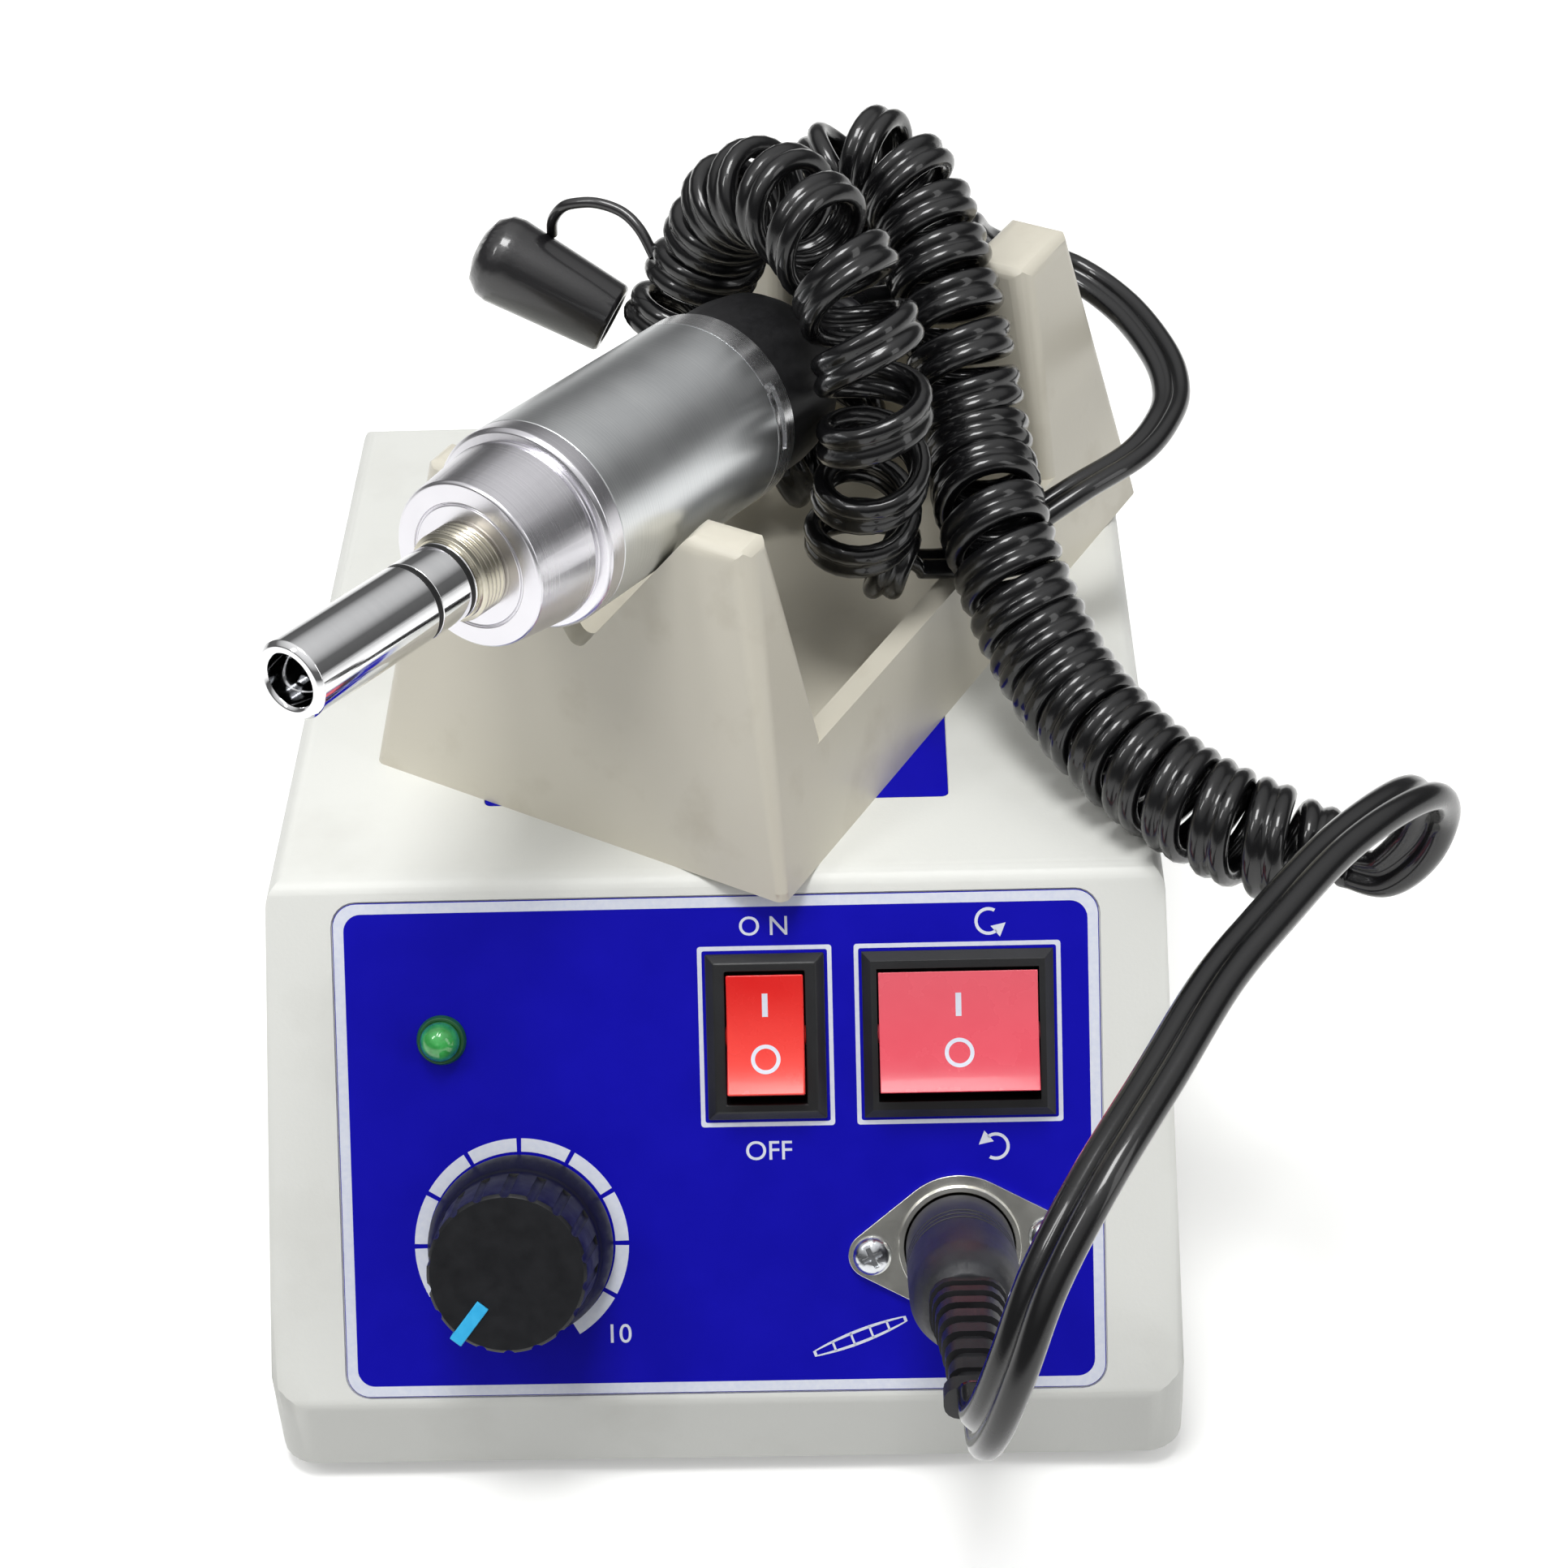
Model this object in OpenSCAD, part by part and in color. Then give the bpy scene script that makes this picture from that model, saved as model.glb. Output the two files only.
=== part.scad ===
// Dental laboratory micromotor: desktop control unit with a sloping panel, a moulded
// handpiece cradle on its flat top, the motor handpiece lying in it, and its curly lead.
// Millimetres. The origin is the middle of the footprint on the table, +Z is up and
// the control panel faces -Y.

/* [Case] */
// Width of the case across its flat top
case_w = 113; // [104:1:120]
// Depth of the case from front to rear
case_d = 146; // [142:1:152]
// Height of the flat top above the table
case_top = 69; // [66:0.5:72]
// Distance from the middle of the case forward to the edge above the panel
shoulder = 34.5; // [33:0.5:36]
// Slope of the control panel from the level
panel_angle = 54.9; // [53:0.1:57]
// How far each side wall leans in between the base and the top
side_draft = 2; // [0:0.25:3]
// Wall thickness of the moulded case
case_wall = 2.4; // [2:0.1:3]
// Radius of the upright corners of the case
case_r = 5; // [4:0.5:8]
// Radius along the case's top edges
edge_r = 2.6; // [2.5:0.1:5]
// Height of the rubber feet
foot_h = 3; // [2:0.5:5]

/* [Panel] */
// Width of the printed panel sheet
label_w = 96.4; // [92:0.2:98]
// Height of the printed panel sheet, measured down the slope
label_h = 63.2; // [60:0.2:64]
// Middle of the panel sheet below the case's edge, measured down the slope
label_s = 34.3; // [33.5:0.1:35]
// Thickness of the panel sheet and of the sheet on the top
sheet_t = 0.4; // [0.2:0.05:0.5]
// Width of the narrow power switch's rim
power_w = 15; // [14:0.5:16]
// Width of the wide direction switch's rim
direction_w = 24; // [23:0.5:25]
// Height of both switch rims
switch_h = 21; // [20:0.5:22]
// Angle that a rocker tilts to each side of its middle position
rocker_tilt = 10; // [6:1:12]
// Diameter of the speed knob's skirt
knob_d = 23.4; // [21:0.2:25]
// Height of the speed knob
knob_h = 16.5; // [14:0.5:19]
// Number of flutes round the knob's grip
knob_flutes = 18; // [12:1:24]
// Distance between the two screws of the motor socket
socket_pitch = 22.2; // [21:0.1:24]
// Diameter of the moulded plug body
plug_d = 13.6; // [12.5:0.1:14.5]
// Length of the moulded plug body in front of the socket
plug_l = 32; // [28:0.5:34]

/* [Cradle] */
// Length of the cradle along the handpiece
cradle_l = 103.8; // [98:0.2:106]
// Width of the cradle
cradle_w = 62.4; // [58:0.2:64]
// Height of the four horns
cradle_h = 45; // [42:0.5:46]
// How far every face leans in between the base and the horn tops
cradle_lean = 8; // [6:0.5:9]
// Height of the low side walls between the horns
valley_h = 14.7; // [12:0.1:16]
// Height of the bottom of the V in each end wall
vee_h = 25.4; // [24:0.1:27]
// Angle between each flank of the V and the upright
vee_half = 37.5; // [34:0.5:40]
// Wall thickness of the cradle
cradle_wall = 3; // [2.4:0.1:3.6]

/* [Handpiece] */
// Diameter of the motor body
motor_d = 25.5; // [24.5:0.1:25.8]
// Length of the plain part of the motor body
body_l = 33; // [30:0.5:34]
// Diameter of the nose that carries the attachment
nose_d = 9.5; // [9:0.1:10]
// Diameter of the bore in the nose
nose_bore = 6.3; // [5.8:0.1:6.6]
// Angle of the handpiece seen from above, from the case's width
motor_az = 57.9; // [56:0.1:60]
// How far the nose is tipped up from the level
motor_tip_up = 6.9; // [6:0.1:8]
// Radial clearance of the turning parts
running = 0.05; // [0.03:0.01:0.08]

/* [Hidden] */
$fn = 64;

// A corner of an outline replaced by an arc of radius r in n steps
function unit(v) = v / norm(v);
function arc_corner(a, b, c, r, n) =
    let (u = unit(a - b), v = unit(c - b), half = acos(u * v) / 2)
    let (centre = b + unit(u + v) * r / sin(half))
    let (from = b + u * r / tan(half) - centre, to = b + v * r / tan(half) - centre)
    let (turn = (180 - 2 * half) * sign(from.x * to.y - from.y * to.x))
    [for (i = [0:n]) let (t = turn * i / n)
        centre + [from.x * cos(t) - from.y * sin(t), from.x * sin(t) + from.y * cos(t)]];
function rounded(points, radii, n = 6) = [
    for (i = [0:len(points) - 1]) each radii[i] == 0 ? [points[i]]
        : arc_corner(points[(i + len(points) - 1) % len(points)], points[i],
            points[(i + 1) % len(points)], radii[i], n)];
function box_outline(w, h, r, n = 6) =
    rounded([[-w, -h] / 2, [w, -h] / 2, [w, h] / 2, [-w, h] / 2], [r, r, r, r], n);
// An outline between two corners, with its own corner radius
function span_outline(a, b, r, n = 5) = rounded([a, [b.x, a.y], b, [a.x, b.y]], [r, r, r, r], n);

// Case: one convex form, the intersection of its side, front, plan and panel outlines
wall_y = case_d / 2;
base_half = case_w / 2 + side_draft;
plate_t = 2;
boss_r = 4;
screw_r = 1.5;
boss_places = [for (x = [-1, 1], y = [-1, 1]) [x * (case_w / 2 - 13), y * (wall_y - 14)]];
far = 200;
shoulder_r = 4;

// Height of the panel's plane, sunk by i, at a distance y from the middle
function panel_z(y, i) = case_top + (y + shoulder) * tan(panel_angle) - i / cos(panel_angle);
function side_outline(i) =
    let (low = i > 0 ? -foot_h : foot_h)
    let (edge_y = -shoulder + i * tan(panel_angle / 2))
    rounded([[i - wall_y, low], [wall_y - i, low], [wall_y - i, case_top - i],
        [edge_y, case_top - i], [i - wall_y, panel_z(i - wall_y, i)]],
        [0, 0, edge_r - i, shoulder_r - i, 3]);
function front_outline(i) =
    let (low = i > 0 ? -foot_h : foot_h)
    rounded([[i - base_half, low], [base_half - i, low], [case_w / 2 - i, case_top - i],
        [i - case_w / 2, case_top - i]], [0, 0, edge_r - i, edge_r - i]);

module along_x(l) rotate([90, 0, 90]) linear_extrude(l, center = true) children();
module along_y(l) rotate([90, 0, 0]) linear_extrude(l, center = true) children();
module on_panel(x, s) translate([x, -shoulder - s * cos(panel_angle), case_top - s * sin(panel_angle)])
    rotate([panel_angle, 0, 0]) children();

module case_form(i) {
    intersection() {
        along_x(far) polygon(side_outline(i));
        along_y(far) polygon(front_outline(i));
        linear_extrude(far, center = true)
            polygon(box_outline(2 * (base_half - i), 2 * (wall_y - i), case_r - i));
        on_panel(0, 0) along_y(2 * far) polygon(rounded([[i - base_half, -far], [base_half - i, -far],
            [base_half - i, -i], [i - base_half, -i]], [0, 0, edge_r - i, edge_r - i]));
    }
}

// Places on the panel: distance from its middle, and distance down the slope
power_at = [6.2, 20.5];
direction_at = [30.4, 20.5];
lamp_at = [-34.8, 20.2];
knob_at = [-25.4, 46.5];
socket_at = [30, 47.5];
socket_turn = 5.2;
sheet_gap = 0.1;
skin = -sheet_gap;
rim_over = 1;
lamp_r = 2.5;
lamp_rim_r = 3.2;
bush_r = 3.5;
socket_r = 7.7;
socket_screw_r = 1.25;

module at_socket() on_panel(socket_at.x, socket_at.y) rotate([0, 0, socket_turn]) children();
module at_socket_screws() at_socket() for (side = [-1, 1])
    translate([side * socket_pitch / 2, 0, 0]) children();

// Everything that passes through the panel, wide enough by c all round
module panel_openings(c) {
    for (item = [[power_at, power_w], [direction_at, direction_w]])
        on_panel(item[0].x, item[0].y) let (cut = 2 * c - 2 * rim_over)
            cube([item[1] + cut, switch_h + cut, 12], center = true);
    on_panel(lamp_at.x, lamp_at.y) cylinder(h = 12, r = lamp_r + 0.5 + c, center = true);
    on_panel(knob_at.x, knob_at.y) cylinder(h = 12, r = bush_r + c, center = true);
    at_socket() cylinder(h = 12, r = socket_r + c, center = true);
    at_socket_screws() cylinder(h = 12, r = socket_screw_r + c, center = true);
}

// Places on the rear wall: across, and above the table
inlet_at = [26, 24];
fuse_at = [-2, 24];
jack_at = [-28, 24];
inlet_w = 20;
inlet_h = 11;
fuse_r = 6;
jack_r = 4.4;
module on_rear(at) translate([at.x, wall_y, at.y]) rotate([-90, 0, 0]) children();

module upper_housing() {
    color([0.9, 0.9, 0.87]) difference() {
        union() {
            difference() {
                case_form(0);
                case_form(case_wall);
            }
            intersection() {
                case_form(case_wall / 2);
                for (p = boss_places) translate([p.x, p.y, foot_h + plate_t])
                    cylinder(h = case_top, r = boss_r);
            }
        }
        for (p = boss_places) translate([p.x, p.y, foot_h]) cylinder(h = 14, r = screw_r);
        on_panel(0, label_s) translate([0, 0, -sheet_t - sheet_gap])
            linear_extrude(far) polygon(box_outline(label_w + 0.4, label_h + 0.4, 3.2));
        translate([0, top_sheet_y, case_top - sheet_t]) linear_extrude(far)
            polygon(box_outline(top_sheet_w + 0.2, top_sheet_d + 0.2, 1));
        panel_openings(0);
        on_rear(inlet_at) cube([inlet_w, inlet_h, 3 * case_wall], center = true);
        on_rear(fuse_at) cylinder(h = 3 * case_wall, r = fuse_r, center = true);
        on_rear(jack_at) cylinder(h = 3 * case_wall, r = jack_r, center = true);
    }
}

// Base plate inside the rim, with two rows of cooling slots
slot_l = 26;
slot_w = 3;
module base_plate() {
    color([0.2, 0.2, 0.21]) difference() {
        intersection() {
            case_form(case_wall);
            translate([-far / 2, -far / 2, foot_h]) cube([far, far, plate_t]);
        }
        for (p = boss_places) translate([p.x, p.y, 0]) cylinder(h = 2 * foot_h + plate_t, r = screw_r + 0.2);
        for (x = [-1, 1], i = [-2:2]) translate([x * 24, i * 9, foot_h])
            linear_extrude(plate_t * 3, center = true) polygon(box_outline(slot_l, slot_w, 1.4));
    }
}

// Four round feet, each hiding a case screw in its middle
foot_r = 7;
module rubber_feet() {
    color([0.12, 0.12, 0.12]) for (p = boss_places) translate([p.x, p.y, 0]) difference() {
        rotate_extrude() polygon([[0, 0], [foot_r - 0.8, 0], [foot_r, 0.8], [foot_r, foot_h], [0, foot_h]]);
        translate([0, 0, -1]) cylinder(h = foot_h + 2, r = 3.2);
    }
}

module case_screws() {
    color([0.72, 0.73, 0.75]) for (p = boss_places) translate([p.x, p.y, foot_h]) {
        translate([0, 0, -1.6]) cylinder(h = 1.6, r = 2.8);
        cylinder(h = 12, r = screw_r);
    }
}

module panel_label() {
    color([0.07, 0.06, 0.62]) difference() {
        on_panel(0, label_s) translate([0, 0, skin - sheet_t])
            linear_extrude(sheet_t) polygon(box_outline(label_w, label_h, 3));
        panel_openings(0.1);
    }
}

// Sheet on the flat top, mostly under the cradle
top_sheet_w = 60;
top_sheet_d = 42;
top_sheet_y = 1.2;
module top_label() {
    color([0.07, 0.06, 0.62]) translate([0, top_sheet_y, case_top - sheet_t])
        linear_extrude(sheet_t) polygon(box_outline(top_sheet_w, top_sheet_d, 0.9));
}

// Cradle frame: x along its length from the front corner, y across it, z up from the case's top
cradle_corner = [9.1, -40.5];
cradle_az = 60.77;
lean = cradle_lean / cradle_h;
horn_r = 2.9;
foot_corner_r = 1.4;
horn_y = 17;
front_notch = [16.3, 14];
rear_notch = [25.3, 21.8];
pad_t = 1;
floor_t = 2.4;
module in_cradle() translate([cradle_corner.x, cradle_corner.y, case_top])
    rotate([0, 0, cradle_az]) children();

// Outlines of the end walls with their V, and of the side walls with their low valley
vee_y = (cradle_h - vee_h) * tan(vee_half);
function end_outline() = rounded([[0, 0], [cradle_w, 0], [cradle_w - cradle_lean, cradle_h],
    [cradle_w / 2 + vee_y, cradle_h], [cradle_w / 2, vee_h], [cradle_w / 2 - vee_y, cradle_h],
    [cradle_lean, cradle_h]], [0, 0, horn_r, horn_r, 1.5, horn_r, horn_r]);
function wall_outline() = rounded([[0, 0], [cradle_l, 0], [cradle_l - cradle_lean, cradle_h],
    [cradle_l - rear_notch[1], cradle_h], [cradle_l - rear_notch[0], valley_h],
    [front_notch[0], valley_h], [front_notch[1], cradle_h], [cradle_lean, cradle_h]],
    [0, 0, 2.6, 2.4, 2.4, 2.4, 2.4, 2.6]);

// A block between rectangles at heights z0 and z1, with corner radii r0 and r1
module tapered(low, z0, high, z1, r0, r1) hull() {
    translate([0, 0, z0]) linear_extrude(0.01) polygon(span_outline(low[0], low[1], r0));
    translate([0, 0, z1 - 0.01]) linear_extrude(0.01) polygon(span_outline(high[0], high[1], r1));
}
module cradle_tray(i, z0, z1) {
    tapered([[i, i] + [1, 1] * lean * z0, [cradle_l - i, cradle_w - i] - [1, 1] * lean * z0], z0,
        [[i, i] + [1, 1] * lean * z1, [cradle_l - i, cradle_w - i] - [1, 1] * lean * z1], z1,
        foot_corner_r, foot_corner_r + 0.6);
}
module cradle_post(notch) {
    tapered([[lean, lean] * pad_t, [notch[0], horn_y]], pad_t,
        [[cradle_lean, cradle_lean], [notch[1], horn_y]],
        cradle_h, foot_corner_r, horn_r);
}
module cradle_end() {
    rotate([90, 0, 0]) translate([0, 0, -cradle_w + horn_y - 3]) linear_extrude(cradle_w - 2 * horn_y + 6)
        polygon([[lean, 1] * pad_t, [lean * pad_t + cradle_wall, pad_t],
            [cradle_lean + cradle_wall, cradle_h], [cradle_lean, cradle_h]]);
}
module cradle_half(notch) {
    cradle_post(notch);
    translate([0, cradle_w, 0]) mirror([0, 1, 0]) cradle_post(notch);
    cradle_end();
}
module cradle() {
    color([0.82, 0.79, 0.72]) in_cradle() intersection() {
        union() {
            difference() {
                cradle_tray(0, 0, valley_h);
                cradle_tray(cradle_wall, pad_t + floor_t, 2 * valley_h);
                translate([1, 1, 0] * cradle_wall + [0, 0, -pad_t])
                    cube([cradle_l - 2 * cradle_wall, cradle_w - 2 * cradle_wall, 2 * pad_t]);
            }
            cradle_half(front_notch);
            translate([cradle_l, 0, 0]) mirror([1, 0, 0]) cradle_half(rear_notch);
        }
        rotate([90, 0, 90]) translate([0, 0, -1]) linear_extrude(cradle_l + 2) polygon(end_outline());
        rotate([90, 0, 0]) translate([0, 0, -cradle_w - 1])
            linear_extrude(cradle_w + 2) polygon(wall_outline());
    }
}

// Foam tape between the cradle's floor and the case
module cradle_pads() {
    color([0.3, 0.3, 0.3]) in_cradle() for (x = [22, 64]) translate([x, 8, 0]) cube([14, 46, pad_t]);
}

// Rocker switches: a moulded frame clipped into the panel, and a rocker on its own pins
rim_h = 1.6;
rocker_gap = 0.2;
rocker_l = 15;
rocker_end = 3.7;
rocker_dip = 1.2;
pin_r = 1.2;
pin_in = 0.5;
pivot_h = -0.3;
power_rocker_w = 9.7;
direction_rocker_w = 19.9;

module switch_frame(w, rocker_w) {
    translate([0, 0, skin]) intersection() {
        along_x(w) polygon([[-switch_h / 2, 0], [switch_h / 2, 0], [switch_h / 2, 0.5],
            [switch_h / 2 - 1.1, rim_h], [1.1 - switch_h / 2, rim_h], [-switch_h / 2, 0.5]]);
        along_y(switch_h) polygon([[-w / 2, 0], [w / 2, 0], [w / 2, 0.5], [w / 2 - 1.1, rim_h],
            [1.1 - w / 2, rim_h], [-w / 2, 0.5]]);
    }
    translate([rim_over - w / 2, rim_over - switch_h / 2, -10])
        cube([w - 2 * rim_over, switch_h - 2 * rim_over, 10]);
}
module switch_cavity(rocker_w) {
    open_w = rocker_w + 2 * rocker_gap;
    translate([-open_w / 2, -8.4, -8]) cube([open_w, 16.8, 20]);
    translate([0, 0, pivot_h]) rotate([0, 90, 0])
        cylinder(h = open_w + 2 * pin_in + 0.2, r = pin_r + running, center = true);
}
module rocker(rocker_w) {
    half = rocker_l / 2;
    translate([0, 0, pivot_h]) rotate([-rocker_tilt, 0, 0]) {
        along_x(rocker_w) polygon([each [for (i = [-5:5]) let (t = i / 5)
            [t * half, rocker_end - rocker_dip * (1 - t * t)]],
            [half, -1.2], [2.6, -2.6], [1.6, -6], [-1.6, -6],
            [-2.6, -2.6], [-half, -1.2]]);
        rotate([0, 90, 0]) cylinder(h = rocker_w + 2 * rocker_gap + 2 * pin_in, r = pin_r, center = true);
    }
}
module power_switch_frame() {
    color([0.1, 0.1, 0.1]) on_panel(power_at.x, power_at.y) difference() {
        switch_frame(power_w, power_rocker_w);
        switch_cavity(power_rocker_w);
    }
}
module power_rocker() {
    color([0.92, 0.16, 0.12]) on_panel(power_at.x, power_at.y) rocker(power_rocker_w);
}
module direction_switch_frame() {
    color([0.1, 0.1, 0.1]) on_panel(direction_at.x, direction_at.y) difference() {
        switch_frame(direction_w, direction_rocker_w);
        switch_cavity(direction_rocker_w);
    }
}
module direction_rocker() {
    color([0.85, 0.25, 0.32]) on_panel(direction_at.x, direction_at.y) rocker(direction_rocker_w);
}

// Pilot lamp
lamp_l = 6;
module lamp_bezel() {
    color([0.12, 0.3, 0.16]) on_panel(lamp_at.x, lamp_at.y) difference() {
        union() {
            translate([0, 0, skin]) cylinder(h = 0.9, r1 = lamp_rim_r, r2 = lamp_rim_r - 0.3);
            translate([0, 0, skin - lamp_l]) cylinder(h = lamp_l, r = lamp_r + 0.5);
        }
        translate([0, 0, -far / 2]) cylinder(h = far, r = lamp_r);
    }
}
module lamp_lens() {
    color([0.1, 0.55, 0.2]) on_panel(lamp_at.x, lamp_at.y) {
        translate([0, 0, -lamp_l]) cylinder(h = lamp_l + 1.4, r = lamp_r);
        translate([0, 0, 1.4]) sphere(r = lamp_r);
    }
}

// Speed control: a panel potentiometer and the knob on its shaft
shaft_r = 3;
pot_r = 8.2;
pot_l = 8;
bush_top = 4;
knob_foot = 0.5;
grip_r = 10.3;
grip_z = 5.6;
pointer_turn = 232;
module at_knob() on_panel(knob_at.x, knob_at.y) children();
module speed_pot() {
    color([0.5, 0.52, 0.55]) at_knob() difference() {
        union() {
            translate([0, 0, -case_wall - pot_l]) cylinder(h = pot_l, r = pot_r);
            translate([0, 0, -case_wall]) cylinder(h = case_wall + bush_top, r = bush_r);
        }
        translate([0, 0, -case_wall - pot_l + 1.5]) cylinder(h = far, r = shaft_r + running);
    }
}
module pot_nut() {
    color([0.75, 0.76, 0.78]) at_knob() translate([0, 0, skin]) difference() {
        cylinder(h = 2, r = 5.8, $fn = 6);
        translate([0, 0, -1]) cylinder(h = 4, r = bush_r);
    }
}
module pot_shaft() {
    color([0.7, 0.71, 0.73]) at_knob() translate([0, 0, -case_wall - pot_l + 2])
        cylinder(h = pot_l + case_wall + knob_h - 6, r = shaft_r);
}
module pointer_bar() {
    rotate([0, 0, pointer_turn]) {
        translate([4.8, -0.85, knob_h - 0.8]) cube([5.7, 1.7, 1.1]);
        translate([9.2, -0.85, knob_h - 5]) cube([1.3, 1.7, 5.3]);
    }
}
module speed_knob() {
    color([0.1, 0.1, 0.11]) at_knob() difference() {
        rotate_extrude() polygon([[shaft_r, bush_top + 1],
            [bush_r + 3.5, bush_top], [bush_r + 3.5, knob_foot],
            [knob_d / 2 - 0.3, knob_foot], [knob_d / 2, knob_foot + 0.4], [knob_d / 2, knob_foot + 1.4],
            [grip_r + 0.5, grip_z - 0.8], [grip_r, grip_z], [grip_r - 0.5, knob_h - 0.4],
            [grip_r - 0.9, knob_h], [0, knob_h], [0, knob_h - 4], [shaft_r, knob_h - 4]]);
        for (i = [0:knob_flutes - 1]) rotate([0, 0, (i + 0.5) * 360 / knob_flutes])
            translate([grip_r + 0.35, 0, grip_z + 0.4]) rotate([0, -2.8, 0]) cylinder(h = knob_h, r = 0.75);
        pointer_bar();
    }
}
module knob_pointer() {
    color([0.15, 0.7, 0.93]) at_knob() pointer_bar();
}

// Motor socket: a plated oval flange with its tube, an insulator, two screws and the plug
flange_t = 0.8;
flange_mid_r = 9;
flange_end_r = 3;
tube_wall = 0.7;
tube_top = 1.6;
tube_low = -9;
core_r = 5.3;
module plate_outline(mid_r, end_r, p) {
    a = acos((mid_r - end_r) / p);
    polygon([each [for (i = [-6:6]) [p + end_r * cos(a * i / 6), end_r * sin(a * i / 6)]],
        each [for (i = [0:12]) let (t = a + (180 - 2 * a) * i / 12) mid_r * [cos(t), sin(t)]],
        each [for (i = [-6:6]) [-p - end_r * cos(a * i / 6), -end_r * sin(a * i / 6)]],
        each [for (i = [0:12]) let (t = 180 + a + (180 - 2 * a) * i / 12) mid_r * [cos(t), sin(t)]]]);
}
module socket_flange() {
    color([0.8, 0.79, 0.74]) at_socket() difference() {
        union() {
            translate([0, 0, skin]) linear_extrude(flange_t)
                plate_outline(flange_mid_r, flange_end_r, socket_pitch / 2);
            translate([0, 0, tube_low]) cylinder(h = tube_top - tube_low, r = socket_r);
        }
        translate([0, 0, tube_low - 1]) cylinder(h = far, r = socket_r - tube_wall);
        for (side = [-1, 1]) translate([side * socket_pitch / 2, 0, -2]) cylinder(h = 4, r = socket_screw_r);
    }
}
contact_places = [for (i = [0:4]) let (t = 45 * i - 180) 3.4 * [cos(t), sin(t)]];
module socket_insert() {
    color([0.13, 0.13, 0.13]) at_socket() difference() {
        union() {
            translate([0, 0, tube_low]) cylinder(h = 1.5, r = socket_r - tube_wall);
            translate([0, 0, tube_low]) cylinder(h = -tube_low - 0.5, r = core_r);
        }
        for (p = contact_places) translate([p.x, p.y, -7]) cylinder(h = far, r = 0.75);
    }
}
module socket_screws() {
    color([0.78, 0.79, 0.8]) at_socket_screws() {
        difference() {
            translate([0, 0, skin + flange_t]) rotate_extrude()
                polygon([[0, 0], [2.4, 0], [2.4, 0.6], [1.9, 1.2], [1, 1.5], [0, 1.6]]);
            for (turn = [20, 110]) rotate([0, 0, turn])
                translate([-1.3, -0.3, skin + flange_t + 0.9]) cube([2.6, 0.6, 2]);
        }
        translate([0, 0, -7]) cylinder(h = 7 + skin + flange_t, r = socket_screw_r);
    }
}
module plug_contacts() {
    color([0.8, 0.8, 0.78]) at_socket() {
        difference() {
            translate([0, 0, tube_low + 1.5]) cylinder(h = tube_top - tube_low - 1.5, r = 6.6);
            translate([0, 0, tube_low]) cylinder(h = far, r = 5.8);
        }
        for (p = contact_places) translate([p.x, p.y, -6]) cylinder(h = 6 + tube_top, r = 0.7);
    }
}
plug_r = plug_d / 2;
rib_z = 9;
module plug_body() {
    color([0.08, 0.08, 0.09]) at_socket() translate([0, 0, tube_top]) rotate_extrude()
        polygon([[0, 0], [plug_r - 0.3, 0], [plug_r, 0.4], [plug_r, rib_z],
            each [for (i = [0:2]) each [[plug_r - 0.5, rib_z + 2 * i], [plug_r - 0.5, rib_z + 0.8 + 2 * i],
                [plug_r, rib_z + 0.8 + 2 * i], [plug_r, rib_z + 2 + 2 * i]]],
            [plug_r - 0.1, plug_l - 6], [plug_r - 0.6, plug_l - 3.2],
            [plug_r - 1.5, plug_l - 1.2], [plug_r - 2.6, plug_l - 0.2], [plug_r - 3, plug_l], [0, plug_l]]);
}

// Boot: flat ribs on a core that droops from the plug towards the cord
boot_ribs = 7;
boot_pitch = 3.1;
boot_droop = 3.6;
boot_w = [9, 5.6];
boot_end = 4;
module boot_link(i) {
    if (i < boot_ribs) {
        w = boot_w[0] + (boot_w[1] - boot_w[0]) * i / (boot_ribs - 1);
        linear_extrude(boot_pitch * 0.62) polygon(box_outline(w, w * 0.82, w * 0.3, 4));
        linear_extrude(boot_pitch * 1.06) polygon(box_outline(w * 0.78, w * 0.62, w * 0.25, 4));
        translate([0, 0, boot_pitch]) rotate([boot_droop, 0, 0]) boot_link(i + 1);
    } else {
        linear_extrude(boot_end - 2) polygon(box_outline(6.9, 4.4, 1.8, 4));
    }
}
module plug_boot() {
    color([0.08, 0.08, 0.09]) on_panel(socket_at.x, socket_at.y)
        translate([0, 0, tube_top + plug_l]) boot_link(0);
}

// Handpiece frame: z runs from the nose's tip along the axis to the rear
motor_tip = [-42.35, -63.4, 122.3];
nose_l = 27.5;
face_w = 31.7;
body_w = 45;
ring_w = body_w + body_l;
cap_w = ring_w + 4;
cap_l = 16;
relief_l = 17;
motor_r = motor_d / 2;
tube_r = motor_r - 1;
nose_r = nose_d / 2;
rotor_r = 1.5;
bearing_r = 5;
neck_r = 4.2;
sleeve_r = 5.5;
groove_w = [20.4, 26.3];
groove_l = 0.8;
socket_l = 7.4;
dog_w = 8.4;
module on_motor() translate(motor_tip) rotate([0, 90 + motor_tip_up, motor_az]) children();

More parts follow.
